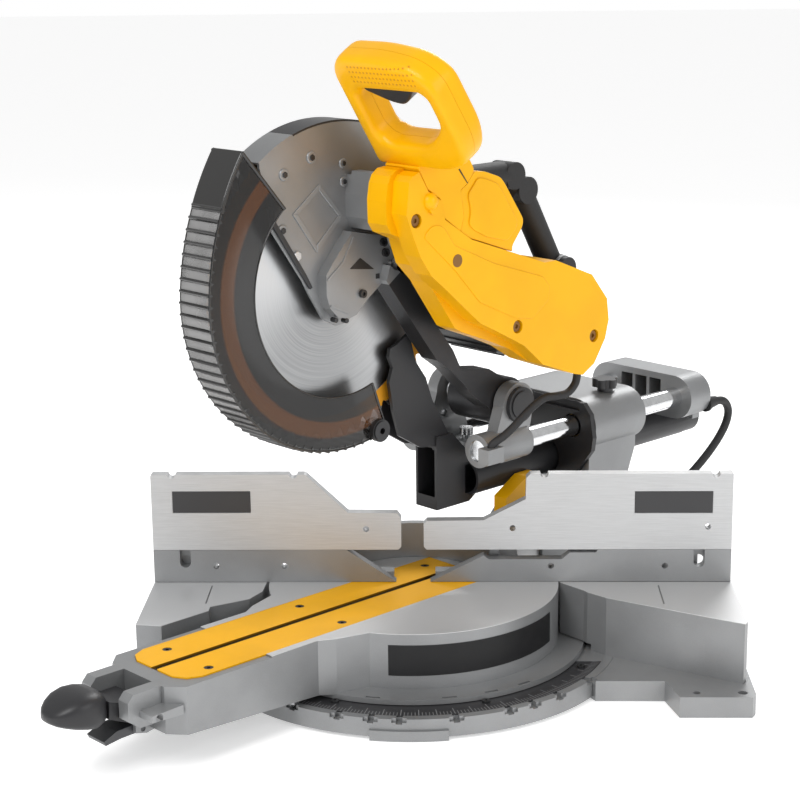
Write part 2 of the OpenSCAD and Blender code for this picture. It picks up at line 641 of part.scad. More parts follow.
module head_casting() {
  color("silver") on_arm() difference() {
    union() {
      // upper guard: near wall, far wall, silver band
      intersection() {
        cross_bar(13, 16, arbor, wall_r);
        slab(12, 17, [[197, 437], [190.6, 416], [185, 398], [186, 382], [150, 330.6], [142.5, 317], [127, 291.8], [111, 283],
          [100, 284], [88, 296], [50, 330], [-60, 330], [-60, 500], [197, 500]]);
      }
      intersection() {
        cross_bar(-17, -15, arbor, wall_r);
        slab(-18, -14, [[196, 437], [150, 327], [130, 296], [60, 280], [-60, 300], [-60, 500], [196, 500]]);
      }
      ring_sector(-17, 16, arbor, wall_r - 0.5, rim_r, 53, 70);
      cross_bar(-21, -16, arbor, 19.95);
      // gear case: lug over the arbor, box behind it, plate and bearing of the belt drive
      slab(15.5, lug_x, lug);
      intersection() {
        slab(15.5, 22, gear_box);
        cross_bar(15, 23, arbor, blade_d / 2 - 47);
      }
      slab(21.4, 59.6, gear_box);
      slab(54, 59.6, case_plate);
      cross_bar(46, 59.6, layshaft, 13);
      slab(24, 57, [[52, 355], [43, 334], [36, 322], [20, 300], [0, 290], [-30, 300], [0, 330], [30, 352]]);
      // beam to the pivot knuckle
      slab(16, 38, [[62, 336], [66.8, 322], [19, 257.7], [1.7, 235.4], [-16, 223], [-52, 188], [-84, 165], [-100, 197], [-70, 215], [-31, 221],
        [-20, 242], [2.5, 270.5], [37, 321]]);
      slab(34, 56, [[36, 316], [16, 290], [-30, 266], [-50, 272], [-30, 312], [20, 350]]);
      cross_bar(-22, 38, pivot, 25);
      // carrying handle brackets
      slab(54, 59.6, [[-34, 334], [-6, 344], [-8, 408], [-32, 408]]);
      cross_bar(bracket_x, 59.6, [-20, 405], 13);
      slab(54, 59.6, [[-172, 306], [-150, 316], [-140, 300], [-150, 270]]);
      cross_bar(bracket_x, 59.6, [-162, 306], 12);
    }
    cross_bar(-24, 25.5, arbor, arbor_d / 2 + run_clear);
    cross_bar(-60, 60, pivot, pivot_d / 2 + run_clear);
    cross_bar(47.5, 62, layshaft, 6 + run_clear);
    cross_bar(50, 62, motor, 7.5);
    cross_bar(16.5, lug_x + 2, lock_button, 3.5 + run_clear);
    cross_bar(lug_x, lug_x + 12, lock_button, 5.6);
    for (p = gear_screw_at) cross_bar(17, lug_x + 2, p, 2.6);
    cross_bar(bracket_x - 1, 60, [-20, 405], 4);
  }
}
module upper_guard_rim() {
  color("black") on_arm() ring_sector(-17, 16, arbor, wall_r + 0.06, rim_r, 70.2, 178);
}
module gear_cover_screws() {
  color("dimgray") on_arm() for (p = gear_screw_at) {
    difference() {
      cross_bar(lug_x, lug_x + 3, p, 4);
      translate([lug_x + 1.4, -p[0], table_h + p[1]]) rotate([0, 90, 0]) cylinder(h = 4, r = 2, $fn = 6);
    }
    cross_bar(18, lug_x + 0.5, p, 2.5);
  }
}
motor_r = 48;
module motor_housing() {
  color("black") on_arm() difference() {
    union() {
      cross_bar(-52, 54, motor, motor_r);
      cross_bar(-60, -51, motor, motor_r - 8);
    }
    cross_bar(-48, 50, motor, motor_r - 5);
    cross_bar(-54, -40, motor, 9);
    cross_bar(40, 60, motor, 9);
    for (a = [0:24:359]) translate([0, -motor[0], table_h + motor[1]]) rotate([a, 0, 0])
      translate([-61, -1.5, 24]) cube([5, 3, 11]);
  }
}
module motor_rotor() {
  color("darkgoldenrod") on_arm() {
    cross_bar(-50, 88, motor, 6);
    cross_bar(-40, 34, motor, 30);
    cross_bar(-46, -40, motor, 14);
    cross_bar(36, 42, motor, 34);
    cross_bar(64, 84, motor, pulley_d / 2);
  }
}
module drive_pulley() {
  color("gray") on_arm() {
    cross_bar(48, 88, layshaft, 6);
    cross_bar(64, 84, layshaft, pulley_d / 2);
    cross_bar(84, 86, layshaft, pulley_d / 2 - 3);
  }
}
belt_run = layshaft - motor;
belt_tilt = atan2(belt_run[1], belt_run[0]);
module belt_loop(x0, x1, r) {
  slab(x0, x1, concat(arc(layshaft, r, belt_tilt - 90, belt_tilt + 90, 24), arc(motor, r, belt_tilt + 90, belt_tilt + 270, 24)));
}
module drive_belt() {
  color("black") on_arm() difference() {
    belt_loop(66, 82, pulley_d / 2 + gap + 3);
    belt_loop(65, 83, pulley_d / 2 + gap);
  }
}
cover_rear = [[-76, 229], [-122, 212], [-134, 209], [-151, 218], [-167, 241], [-172, 259], [-169, 281], [-146, 308],
  [-93, 329], [-77, 329], [22, 363], [56, 385], [61, 403], [77, 413]];
cover_back = concat([[88, 433], [97, 432], [104, 427], [107.5, 420], [110, 405], [109.5, 384], [103.7, 375.4], [84.4, 367], [75.5, 343],
  [58, 325], [24, 277], [12, 271], [-21.5, 258], [-49, 246]], cover_rear);
cover_front = concat([[88, 431], [96, 428], [100.5, 423], [104, 394], [95, 372], [87, 354.5], [74, 336], [58, 323], [11, 283],
  [-23, 266], [-49, 252]], cover_rear);
cover_screw_at = [[92, 388], [40, 342], [-150, 246], [-40, 272]];
belt_room = pulley_d / 2 + gap + 3.7;
module belt_cover() {
  color("gold") on_arm() difference() {
    union() {
      slab(60, 85, cover_back);
      slab(84, 105, cover_front);
      cross_bar(104, 108, [72, 398], 6);
    }
    belt_loop(59, 98, belt_room);
    for (p = cover_screw_at) {
      cross_bar(100, 106, p, 6.5);
      cross_bar(59, 101, p, 2.6);
    }
  }
}
module cover_screws() {
  color("dimgray") on_arm() for (p = cover_screw_at) {
    difference() {
      cross_bar(100, 103, p, 5);
      translate([101.4, -p[0], table_h + p[1]]) rotate([0, 90, 0]) cylinder(h = 4, r = 2.4, $fn = 6);
    }
    cross_bar(62, 100.5, p, 2.5);
  }
}

// ---- Handles: x across, z up the loop, y its thickness ----
grip = [130, 536];
grip_lean = 32;
grip_half = 17;
module on_grip() {
  on_arm() translate([0, -grip[0], table_h + grip[1]]) rotate([grip_lean, 0, 0]) children();
}
module grip_prism(y0, y1, list) { translate([0, y1, 0]) rotate([90, 0, 0]) linear_extrude(y1 - y0) polygon(list); }
module grip_loop(y0, y1) {
  difference() {
    grip_prism(y0, y1, [[48, -10], [51, -1], [59, 4], [80, 6], [110, 5.5], [130, 3], [148, -2], [161, -8], [168, -18],
      [171, -80], [168, -92], [152, -107], [140, -112], [50, -112]]);
    grip_prism(-40, 40, [[64.5, -40], [67, -32], [74, -29], [148, -29], [154, -33], [155, -58], [147, -70], [134, -80], [122, -87],
      [76, -87], [67, -80], [64.5, -66]]);
    translate([67.5, -8.3, -40]) cube([61, 16.6, 29]);
  }
}
// Room kept above the belt cover, along its seam with the handle
module cover_room() {
  on_arm() slab(40, 200, [[120, 300], [120, 441], [88, 434], [76.5, 414], [60.4, 403.7], [55.4, 385.7], [21.6, 363.6], [-60, 336],
    [-60, 300]]);
}
module handle_front() {
  color("gold") difference() {
    on_grip() difference() {
      grip_loop(-grip_half, 0);
      for (x = [56, 161]) translate([x, -grip_half - 1, -20]) rotate([-90, 0, 0]) cylinder(h = 5, r = 4);
    }
    cover_room();
  }
}
module handle_rear() {
  color("gold") difference() {
    union() {
      on_grip() grip_loop(0, grip_half);
      difference() {
        on_arm() slab(60.4, 104, [[88, 440], [88, 432], [70, 405], [50, 380], [35.5, 372], [31, 385], [35.1, 410], [27, 414.2],
          [17, 426], [24, 438], [34, 447], [52, 456]]);
        on_grip() translate([0, -60, -112.3]) cube([300, 60, 100]);
      }
    }
    cover_room();
  }
}
module trigger() {
  color("black") on_grip() grip_prism(-8, 8, [[68, -18], [128, -18], [128, -34], [113, -47], [95, -44.5], [80, -38.5], [68, -33]]);
}
module switch_pod() {
  color("gold") on_arm() slab(62, 104, [[22, 363.8], [34.7, 372], [30.5, 385], [34.7, 409.5], [26.5, 413.6], [16.4, 425.3], [3, 423.5],
    [-17.5, 416.5], [-23, 411], [-49, 374], [-48, 367], [-34, 350], [-34, 344.8]]);
}
bracket_x = 50;
carry_path = [[-20, 405], [-96, 405], [-114, 389], [-162, 306]];
module tube_seg(x, p, q, r) {
  v = q - p;
  translate([x, -p[0], table_h + p[1]]) rotate([-atan2(v[1], v[0]), 0, 0]) rotate([90, 0, 0]) cylinder(h = norm(v), r = r);
}
module carry_handle() {
  x = 36;
  r = carry_d / 2;
  color("black") on_arm() {
    for (i = [0:2]) tube_seg(x, carry_path[i], carry_path[i + 1], r);
    for (p = carry_path) cross_bar(x - r - 0.4, x + r + 0.4, p, r + 0.4);
    for (p = [carry_path[0], carry_path[3]]) cross_bar(x, bracket_x - gap, p, r - 3);
  }
}

// ---- Blade, guard and spindle ----
teeth = 60;
module blade() {
  r = blade_d / 2;
  color("lightgray") on_arm() translate([-blade_t / 2, -arbor[0], table_h + arbor[1]]) rotate([90, 0, 90]) difference() {
    linear_extrude(blade_t) polygon([for (i = [0:teeth - 1]) each [
      polar([0, 0], r, 360 / teeth * i), polar([0, 0], r - 5, 360 / teeth * (i + 0.16)),
      polar([0, 0], r - 8, 360 / teeth * (i + 0.4)), polar([0, 0], r - 2, 360 / teeth * (i + 0.8))]]);
    translate([0, 0, -1]) cylinder(h = 10, d = arbor_d + 0.1);
  }
}
module arbor_spindle() {
  b = blade_t / 2;
  color("gray") on_arm() {
    cross_bar(-b - 1, 25.2, arbor, arbor_d / 2);
    cross_bar(b, b + 3, arbor, 24);
  }
}
module arbor_screw() {
  b = blade_t / 2;
  color("dimgray") on_arm() {
    difference() {
      cross_bar(-b - 4, -b, arbor, 24);
      cross_bar(-b - 1.1, -b + 1, arbor, arbor_d / 2 + 0.05);
    }
    cross_bar(-b - 7, -b - 4, arbor, 9);
  }
}
function guard_out(a) = guard_r + 2 + (a > 5 ? 20 * pow((a - 5) / 45, 2) : 0);
guard_edge = [for (a = [-110:4:50]) polar(arbor, guard_out(a), a)];
guard_edge_in = [for (a = [-110:4:50]) polar(arbor, guard_out(a) - 2, a)];
guard_bore = blade_d / 2 - 46;
guard_bore_edge = [for (a = [50:-4:-110]) polar(arbor, guard_bore, a)];
roller = polar(arbor, blade_d / 2 - 0.2, -105.5);
module lower_guard() {
  color("darkslategray") on_arm() difference() {
    union() {
      for (x = [-20.5, 18.5]) slab(x, x + 2, concat(guard_edge, guard_bore_edge));
      difference() {
        slab(-20.5, 20.5, concat(guard_edge, guard_bore_edge));
        slab(-21, 21, concat([polar(arbor, guard_out(-110) + 5, -112)], [polar(arbor, 80, -112)], [for (a = [-106:4:46]) polar(arbor, 90, a)],
          [polar(arbor, 80, 54)], [polar(arbor, guard_out(50) + 9, 54)], [for (a = [50:-4:-110]) polar(arbor, guard_out(a) - 2, a)]));
      }
      cross_bar(-20.5, -18.5, arbor, 34);
      for (a = [-70, 20]) translate([-20.5, -arbor[0], table_h + arbor[1]]) rotate([-a, 0, 0]) translate([0, -110, -11]) cube([2, 90, 22]);
      cross_bar(18.5, 29.5, roller, 3);
    }
    cross_bar(-22, -17, arbor, 20);
  }
}
module guard_roller() {
  color("dimgray") on_arm() difference() {
    union() {
      cross_bar(20.8, 28.8, roller, 9.5);
      cross_bar(22.3, 27.3, roller, 11);
    }
    cross_bar(20, 30, roller, 3 + run_clear);
  }
}
module spindle_lock() {
  color("gray") on_arm() {
    cross_bar(19.5, lug_x + 5, lock_button, 3.5);
    cross_bar(lug_x + 4.4, lug_x + 6.5, lock_button, 4.6);
  }
}

// ---- Cables ----
// Routes are [x, y, z] in the arm's frame; the cord's lower end lies on the bench
jumper_r = 4;
jumper_route = [[88, 145, 287], [88, 142, 277], [87, 132, 269], [85, 118, 268], [82, 104, 268], [79, 92, 262],
  [76, 80, 253], [73, 68, 243], [71, 57, 236], [69, 49, 232], [67, 44, 228], [67, 43, 224]];
cord_r = 4.5;
cord_exit = [63, 406, 207];
cord_route = [cord_exit, [63, 418, 205], [62, 427, 199], [61, 432, 190], [60, 431, 179], [59, 425, 168], [58, 414, 156],
  [56, 400, 143], [54, 384, 131], [51, 366, 118], [48, 350, 102], [45, 338, 84], [41, 330, 64], [38, 326, 44],
  [36, 328, 26], [35, 336, 13], [33, 348, 6], [30, 363, 4.6], [24, 381, 4.6], [16, 399, 4.6], [9, 416, 4.6], [5, 431, 4.6]];
coil_at = [-49, 431];
coil_in = 43;
coil_out = 61;
coil_h = 27.5;
table_rise = table_h - 81;
function lifted(p) = [p[0], p[1], p[2] + table_rise * min(1, max(0, (p[2] - 20) / 100))];
function unit(v) = v / norm(v);
function knot(p, i) = p[min(len(p) - 1, max(0, i))];
function spline(a, b, c, d, t) =
  0.5 * (2 * b + (c - a) * t + (2 * a - 5 * b + 4 * c - d) * t * t + (3 * b - a - 3 * c + d) * t * t * t);
function smooth(p, n) = concat([for (i = [0:len(p) - 2]) for (k = [0:n - 1])
  spline(knot(p, i - 1), p[i], p[i + 1], knot(p, i + 2), k / n)], [p[len(p) - 1]]);
function along(p, i) = unit(knot(p, i + 1) - knot(p, i - 1));
module tube(path, r, sides) {
  n = len(path);
  rings = [for (i = [0:n - 1]) let (t = along(path, i), u = unit(cross(t, [1, 0, 0])), v = cross(t, u))
    for (k = [0:sides - 1]) path[i] + r * (cos(360 / sides * k) * u + sin(360 / sides * k) * v)];
  faces = concat([[for (k = [0:sides - 1]) k]], [[for (k = [sides - 1:-1:0]) (n - 1) * sides + k]],
    [for (i = [0:n - 2]) for (k = [0:sides - 1]) let (a = i * sides + k, b = i * sides + (k + 1) % sides)
      [a, a + sides, b + sides, b]]);
  polyhedron(points = rings, faces = faces, convexity = 8);
}
module jumper_cable() { color("black") on_arm() tube(smooth([for (p = jumper_route) lifted(p)], 3), jumper_r, 10); }
module strain_relief() {
  p = lifted(cord_exit);
  color("black") on_arm() translate([p[0], -cap_rear, p[2]]) rotate([-90, 0, 0]) {
    cylinder(h = p[1] + cap_rear - 0.6, r1 = 8, r2 = 5.4);
    cylinder(h = 3, r = 9);
  }
}
module mains_cord() { color("black") on_arm() tube(smooth([for (p = cord_route) lifted(p)], 3), cord_r, 10); }
module coil_section(grow) {
  translate([coil_in - grow, 0.5 - min(grow, 0.5)]) square([coil_out - coil_in + 2 * grow, coil_h + grow + min(grow, 0.5)]);
}
module cord_coil() {
  color("black") on_arm() translate([coil_at[0], coil_at[1], 0]) rotate_extrude() coil_section(0);
}
module cord_tie() {
  color("dimgray") on_arm() translate([coil_at[0], coil_at[1], 0]) rotate([0, 0, 200]) intersection() {
    translate([coil_in - 3, -5, -1]) cube([coil_out - coil_in + 6, 10, 40]);
    difference() {
      rotate_extrude() coil_section(1.2);
      rotate_extrude() coil_section(0.06);
    }
  }
}
module mains_plug() {
  color("black") on_arm() translate([coil_at[0] - 52, coil_at[1], 0]) {
    translate([-12, -74, 0.2]) cube([24, 34, 22]);
    translate([0, -41, 11]) rotate([-90, 0, 0]) cylinder(h = 14, r = 5);
    for (x = [-6.4, 6.4]) translate([x - 0.8, -91, 8]) cube([1.6, 18, 6.4]);
    translate([0, -93, 5]) rotate([-90, 0, 0]) cylinder(h = 20, r = 2.3);
  }
}

base_casting();
scale_plate();
scale_screws();
mitre_pivot_bolt();
lower_fence();
fence_bolts();
left_sliding_fence();
right_sliding_fence();
left_fence_knob();
right_fence_knob();
turntable();
left_kerf_plate();
right_kerf_plate();
kerf_screws();
mitre_lock_handle();
mitre_lock_pin();
mitre_latch();
detent_pawl();
rail_housing();
housing_front_plate();
rail_bushes();
bevel_pivot_bolt();
bevel_clamp_lever();
bevel_stop();
rail_lock_knob();
rails();
rear_end_cap();
yoke();
head_pivot_pin();
pivot_cap();
return_spring();
depth_stop_bolt();
head_lock_pin();
dust_duct();
head_casting();
upper_guard_rim();
gear_cover_screws();
motor_housing();
motor_rotor();
drive_belt();
drive_pulley();
belt_cover();
cover_screws();
handle_front();
handle_rear();
trigger();
switch_pod();
carry_handle();
blade();
arbor_spindle();
arbor_screw();
lower_guard();
guard_roller();
spindle_lock();
jumper_cable();
strain_relief();
mains_cord();
cord_coil();
cord_tie();
mains_plug();
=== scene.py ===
import json
import math

import bmesh
import bpy
from mathutils import Matrix, Vector
from mathutils.bvhtree import BVHTree


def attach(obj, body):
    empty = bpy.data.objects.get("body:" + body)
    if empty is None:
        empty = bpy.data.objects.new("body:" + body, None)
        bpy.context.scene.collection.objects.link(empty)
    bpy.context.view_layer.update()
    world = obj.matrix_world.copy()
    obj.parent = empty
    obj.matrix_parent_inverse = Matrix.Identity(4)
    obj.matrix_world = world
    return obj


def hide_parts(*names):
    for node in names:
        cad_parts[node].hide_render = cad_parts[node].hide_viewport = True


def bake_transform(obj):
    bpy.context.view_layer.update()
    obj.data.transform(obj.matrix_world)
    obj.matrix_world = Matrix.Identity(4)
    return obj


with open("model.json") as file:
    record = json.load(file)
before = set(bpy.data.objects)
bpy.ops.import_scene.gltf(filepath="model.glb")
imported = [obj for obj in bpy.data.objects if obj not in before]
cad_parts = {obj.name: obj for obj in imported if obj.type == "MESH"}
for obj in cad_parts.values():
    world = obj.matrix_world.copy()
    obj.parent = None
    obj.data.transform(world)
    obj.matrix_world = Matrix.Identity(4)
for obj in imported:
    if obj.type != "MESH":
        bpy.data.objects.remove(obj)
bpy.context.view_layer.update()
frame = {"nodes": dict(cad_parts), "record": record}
NODES = frame["nodes"]
bpy.context.scene.view_settings.view_transform = "Standard"

# ---- Camera: it stands in front of the saw, looks a little down and rolls slightly ----
W = H = 800
LENS = 85.618
SENSOR = 36.0
EYE = Vector((0.01596, -1.79489, 0.72767))
YAW, PITCH, ROLL = math.radians(-1.784), math.radians(14.139), math.radians(-0.6616)
_look = Vector((math.sin(YAW) * math.cos(PITCH), math.cos(YAW) * math.cos(PITCH), -math.sin(PITCH)))
_side = Vector((math.cos(YAW), -math.sin(YAW), 0))
_over = _side.cross(_look)
_right = _side * math.cos(ROLL) + _over * math.sin(ROLL)
_up = _over * math.cos(ROLL) - _side * math.sin(ROLL)
cam_data = bpy.data.cameras.new("camera")
cam_data.lens, cam_data.sensor_width, cam_data.sensor_fit = LENS, SENSOR, "AUTO"
cam_data.clip_end = 30
cam = bpy.data.objects.new("camera", cam_data)
cam.matrix_world = Matrix((
    (_right.x, _up.x, -_look.x, EYE.x), (_right.y, _up.y, -_look.y, EYE.y),
    (_right.z, _up.z, -_look.z, EYE.z), (0, 0, 0, 1)))
bpy.context.scene.collection.objects.link(cam)
bpy.context.scene.camera = cam

# ---- The arm's frame: x to its right, y to its rear, z up; and side outlines of [reach, height] ----
TABLE_H = 81.0                          # the table top above the bench, in millimetres
TABLE = TABLE_H / 1000
ROOT = math.sqrt(0.5)                   # the arm stands at 45 degrees
MITRE = Vector((-0.029, 0.020, 0.0))
ARM = Matrix(((ROOT, ROOT, 0, MITRE.x), (-ROOT, ROOT, 0, MITRE.y), (0, 0, 1, 0), (0, 0, 0, 1)))


def arm(x, y, z):
    """A point given in millimetres in the arm's frame, in the row frame in metres."""
    return ARM @ Vector((x / 1000, y / 1000, z / 1000))


def side(a, h, x):
    """A point on the side plane x: reach a and height h above the table, in millimetres."""
    return arm(x, -a, TABLE_H + h)


# ---- Image points, in the 800 x 800 frame ----
IMAGE = {
    "object_left": (40.6, 713.3), "object_right": (733.0, 474.4), "object_top": (347.5, 47.8),
    "object_bottom": (77.3, 730.1), "handle_right": (474.8, 149.5), "cover_dome": (432.2, 202.0),
    "cover_pit_0": (414.6, 222.1), "cover_pit_1": (457.5, 260.8), "lug_square": (377.6, 276.0),
    "lug_triangle": (361.3, 265.5), "wall_nut": (296.3, 256.1), "wall_boss_0": (342.8, 163.3),
    "wall_boss_1": (343.6, 181.5), "wall_boss_2": (283.9, 174.9), "guard_roller": (376.5, 429.5),
    "left_fence_corner": (151.4, 474.5), "carry_socket_1": (562.5, 267.9),
}
SPAN = max(W, H)


def sight(point):
    """The ray through an image point."""
    x, y = point
    return (_right * (x - W / 2) + _up * (H / 2 - y) + _look * (SPAN * LENS / SENSOR)).normalized()


def shown_at(p):
    """Where a place in the row frame shows, in image pixels."""
    d = Vector(p) - EYE
    k = SPAN * LENS / SENSOR / d.dot(_look)
    return (W / 2 + d.dot(_right) * k, H / 2 - d.dot(_up) * k)


def place(point, *carriers):
    """Where the sight line of an image point meets the carriers: reach, height and x in the arm's frame."""
    bm = bmesh.new()
    depth = bpy.context.evaluated_depsgraph_get()
    for o in carriers:
        me = o.evaluated_get(depth).to_mesh()
        me.transform(o.matrix_world)
        bm.from_mesh(me)
        o.evaluated_get(depth).to_mesh_clear()
    tree = BVHTree.FromBMesh(bm)
    bm.free()
    ray = sight(IMAGE[point])
    hit = tree.ray_cast(EYE, ray)[0]
    if hit is None:
        near = [tree.find_nearest(EYE + ray * (1.2 + 0.01 * k)) for k in range(120)]
        hit = min(near, key=lambda n: n[3])[0]
    local = ARM.inverted() @ hit
    return -local.y * 1000, local.z * 1000 - TABLE_H, local.x * 1000


# ---- Shader maths ----
class V:
    """A socket or a number, with operators that add Math nodes."""

    def __init__(self, tree, socket):
        self.t, self.s = tree, socket

    def _op(self, op, *others, flip=False):
        n = self.t.nodes.new("ShaderNodeMath")
        n.operation = op
        args = [self] + list(others)
        if flip:
            args.reverse()
        for i, a in enumerate(args):
            if isinstance(a, V):
                self.t.links.new(a.s, n.inputs[i])
            else:
                n.inputs[i].default_value = a
        return V(self.t, n.outputs[0])

    def __add__(self, o): return self._op("ADD", o)
    def __radd__(self, o): return self._op("ADD", o)
    def __sub__(self, o): return self._op("SUBTRACT", o)
    def __rsub__(self, o): return self._op("SUBTRACT", o, flip=True)
    def __mul__(self, o): return self._op("MULTIPLY", o)
    def __rmul__(self, o): return self._op("MULTIPLY", o)
    def __truediv__(self, o): return self._op("DIVIDE", o)
    def __rtruediv__(self, o): return self._op("DIVIDE", o, flip=True)
    def __neg__(self): return self._op("MULTIPLY", -1.0)
    def __lt__(self, o): return self._op("LESS_THAN", o)
    def __gt__(self, o): return self._op("GREATER_THAN", o)
    def abs(self): return self._op("ABSOLUTE")
    def sin(self): return self._op("SINE")
    def fract(self): return self._op("FRACT")
    def sqrt(self): return self._op("SQRT")
    def max(self, o): return self._op("MAXIMUM", o)
    def min(self, o): return self._op("MINIMUM", o)
    def atan2(self, o): return self._op("ARCTAN2", o)
    def clamp(self): return self.max(0.0).min(1.0)

    def step(self, low, high):
        """A smooth step from 0 at low to 1 at high."""
        n = self.t.nodes.new("ShaderNodeMapRange")
        n.interpolation_type = "SMOOTHSTEP"
        self.t.links.new(self.s, n.inputs["Value"])
        n.inputs["From Min"].default_value, n.inputs["From Max"].default_value = low, high
        return V(self.t, n.outputs["Result"])


class Mat:
    """A principled material under construction."""

    def __init__(self, name, color, rough, metal=0.0, coat=0.0):
        m = bpy.data.materials.new(name)
        m.use_nodes = True
        self.m, self.t = m, m.node_tree
        self.b = self.t.nodes["Principled BSDF"]
        self.b.inputs["Base Color"].default_value = (*color, 1)
        self.b.inputs["Roughness"].default_value = rough
        self.b.inputs["Metallic"].default_value = metal
        self.b.inputs["Coat Weight"].default_value = coat
        self._coord = None

    def coord(self):
        if self._coord is None:
            self._coord = self.t.nodes.new("ShaderNodeTexCoord").outputs["Object"]
        return self._coord

    def xyz(self, turned=False):
        """Object coordinates in metres, in the arm's frame when turned is set."""
        src = self.coord()
        if turned:
            n = self.t.nodes.new("ShaderNodeMapping")
            n.vector_type = "POINT"
            n.inputs["Rotation"].default_value = (0, 0, math.radians(45))
            off = Matrix.Rotation(math.radians(45), 3, "Z") @ -MITRE
            n.inputs["Location"].default_value = (off.x, off.y, 0)
            self.t.links.new(src, n.inputs["Vector"])
            src = n.outputs[0]
        s = self.t.nodes.new("ShaderNodeSeparateXYZ")
        self.t.links.new(src, s.inputs[0])
        return [V(self.t, o) for o in s.outputs]

    def noise(self, scale, detail=3.0, stretch=None, rough=0.5):
        n = self.t.nodes.new("ShaderNodeTexNoise")
        n.inputs["Scale"].default_value = scale
        n.inputs["Detail"].default_value = detail
        n.inputs["Roughness"].default_value = rough
        src = self.coord()
        if stretch:
            k = self.t.nodes.new("ShaderNodeMapping")
            k.inputs["Scale"].default_value = stretch
            self.t.links.new(src, k.inputs["Vector"])
            src = k.outputs[0]
        self.t.links.new(src, n.inputs["Vector"])
        return V(self.t, n.outputs["Fac"])

    def mix(self, fac, a, b):
        """Colour a where fac is 0, b where it is 1."""
        n = self.t.nodes.new("ShaderNodeMix")
        n.data_type = "RGBA"
        self.t.links.new(fac.s, n.inputs["Factor"])
        for i, c in ((6, a), (7, b)):
            if isinstance(c, tuple):
                n.inputs[i].default_value = (*c, 1)
            else:
                self.t.links.new(c, n.inputs[i])
        return n.outputs[2]

    def paint(self, out): self.t.links.new(out, self.b.inputs["Base Color"]); return self
    def gloss(self, v): self.t.links.new(v.s, self.b.inputs["Roughness"]); return self
    def metal(self, v): self.t.links.new(v.s, self.b.inputs["Metallic"]); return self

    def bump(self, v, height):
        n = self.t.nodes.new("ShaderNodeBump")
        n.inputs["Distance"].default_value = height
        n.inputs["Strength"].default_value = 1.0
        self.t.links.new(v.s, n.inputs["Height"])
        self.t.links.new(n.outputs[0], self.b.inputs["Normal"])
        return self

    def done(self):
        return self.m


def shade(c, k):
    """The colour c made k times as bright."""
    return tuple(min(1.0, v * k) for v in c)


def cast(name, color, rough=0.42, metal=0.55, grain=900.0, depth=0.00011, top=None):
    """Blasted cast aluminium with a fine grain; faces above the height top are painted lighter, as if lit
    from above.
    """
    m = Mat(name, color, rough, metal)
    cloud, fine = m.noise(14, 4), m.noise(grain, 2)
    skin = m.mix(cloud.step(0.3, 0.7), shade(color, 0.90), shade(color, 1.07))
    skin = m.mix((fine - 0.35).clamp() * 0.5, skin, shade(color, 1.25))
    # painted light: faces above the height top are painted in a lighter colour, as if lit from above
    if top:
        z = m.xyz()[2]
        skin = m.mix((z - top).step(-0.0002, 0.0), skin, TOP_LIGHT)
    m.paint(skin)
    m.gloss(rough + (fine - 0.5) * 0.16)
    return m.bump(fine, depth).done()


def machined(name, color, rough):
    """Milled aluminium with fine cutter lines along the piece."""
    m = Mat(name, color, rough, 0.45)
    line = m.noise(38, 3, (1, 1, 60), 0.7)
    m.paint(m.mix(line.step(0.3, 0.7), shade(color, 0.9), shade(color, 1.06)))
    m.gloss(rough + (line - 0.5) * 0.2)
    return m.bump(line, 0.00004).done()


def plastic(name, color, rough=0.35, coat=0.0, grain=1400.0, depth=0.00005, cloudy=0.04):
    """Moulded plastic with a fine texture."""
    m = Mat(name, color, rough, 0.0, coat)
    fine, cloud = m.noise(grain, 2), m.noise(22, 3)
    m.paint(m.mix(cloud.step(0.3, 0.7), shade(color, 1 - cloudy), shade(color, 1 + cloudy)))
    m.gloss(rough + (fine - 0.5) * 0.14)
    return m.bump(fine, depth).done()


def steel(name, color, rough=0.25, metal=1.0):
    """Brushed or plated metal."""
    m = Mat(name, color, rough, metal)
    line = m.noise(120, 3, rough=0.6)
    m.paint(m.mix(line.step(0.25, 0.75), shade(color, 0.88), shade(color, 1.05)))
    m.gloss(rough + (line - 0.5) * 0.15)
    return m.bump(line, 0.00003).done()


YELLOW = (0.86, 0.43, 0.0)
SILVER = (0.285, 0.29, 0.295)
# painted light: the lighter colour for faces lit from above
TOP_LIGHT = (0.62, 0.625, 0.63)
BLACK = (0.018, 0.018, 0.020)
M = {
    "cast": cast("cast_silver", SILVER),
    "cast_dark": cast("cast_dark_grey", (0.075, 0.078, 0.082), 0.5, 0.35),
    "machined": machined("milled_fence", (0.52, 0.525, 0.53), 0.42),
    "table": cast("cast_table", SILVER, top=TABLE - 0.0004),
    "yellow": plastic("yellow_plastic", YELLOW, 0.36, 0.05),
    "black": plastic("black_plastic", BLACK, 0.42),
    "grey": plastic("grey_plastic", (0.06, 0.062, 0.066), 0.45),
    "rubber": plastic("black_rubber", (0.014, 0.014, 0.015), 0.62, grain=700, depth=0.0001),
    "steel": steel("brushed_steel", (0.60, 0.61, 0.62), 0.28),
    "chrome": steel("chrome_rail", (0.80, 0.81, 0.82), 0.10),
    "dark_steel": steel("dark_steel", (0.06, 0.06, 0.062), 0.4, 0.8),
    "bronze": steel("bronze", (0.55, 0.38, 0.16), 0.35),
    "copper": steel("copper_core", (0.50, 0.25, 0.12), 0.4),
    "dark_seam": plastic("dark_seam", (0.05, 0.035, 0.01), 0.6),
}
M["yellow"].node_tree.nodes["Principled BSDF"].inputs["Specular IOR Level"].default_value = 0.22
SLOT_MAT = {
    "cast_aluminium": "cast", "machined_aluminium": "machined", "painted_grey": "cast_dark",
    "yellow_plastic": "yellow", "black_plastic": "black", "grey_plastic": "grey", "chrome_steel": "chrome",
    "steel": "steel", "dark_steel": "dark_steel", "rubber": "rubber", "smoky_plastic": "black",
    "bronze": "bronze", "copper_core": "copper",
}


def dress(node, material):
    """Gives a CAD node its material."""
    o = NODES[node]
    o.data.materials.clear()
    o.data.materials.append(material)


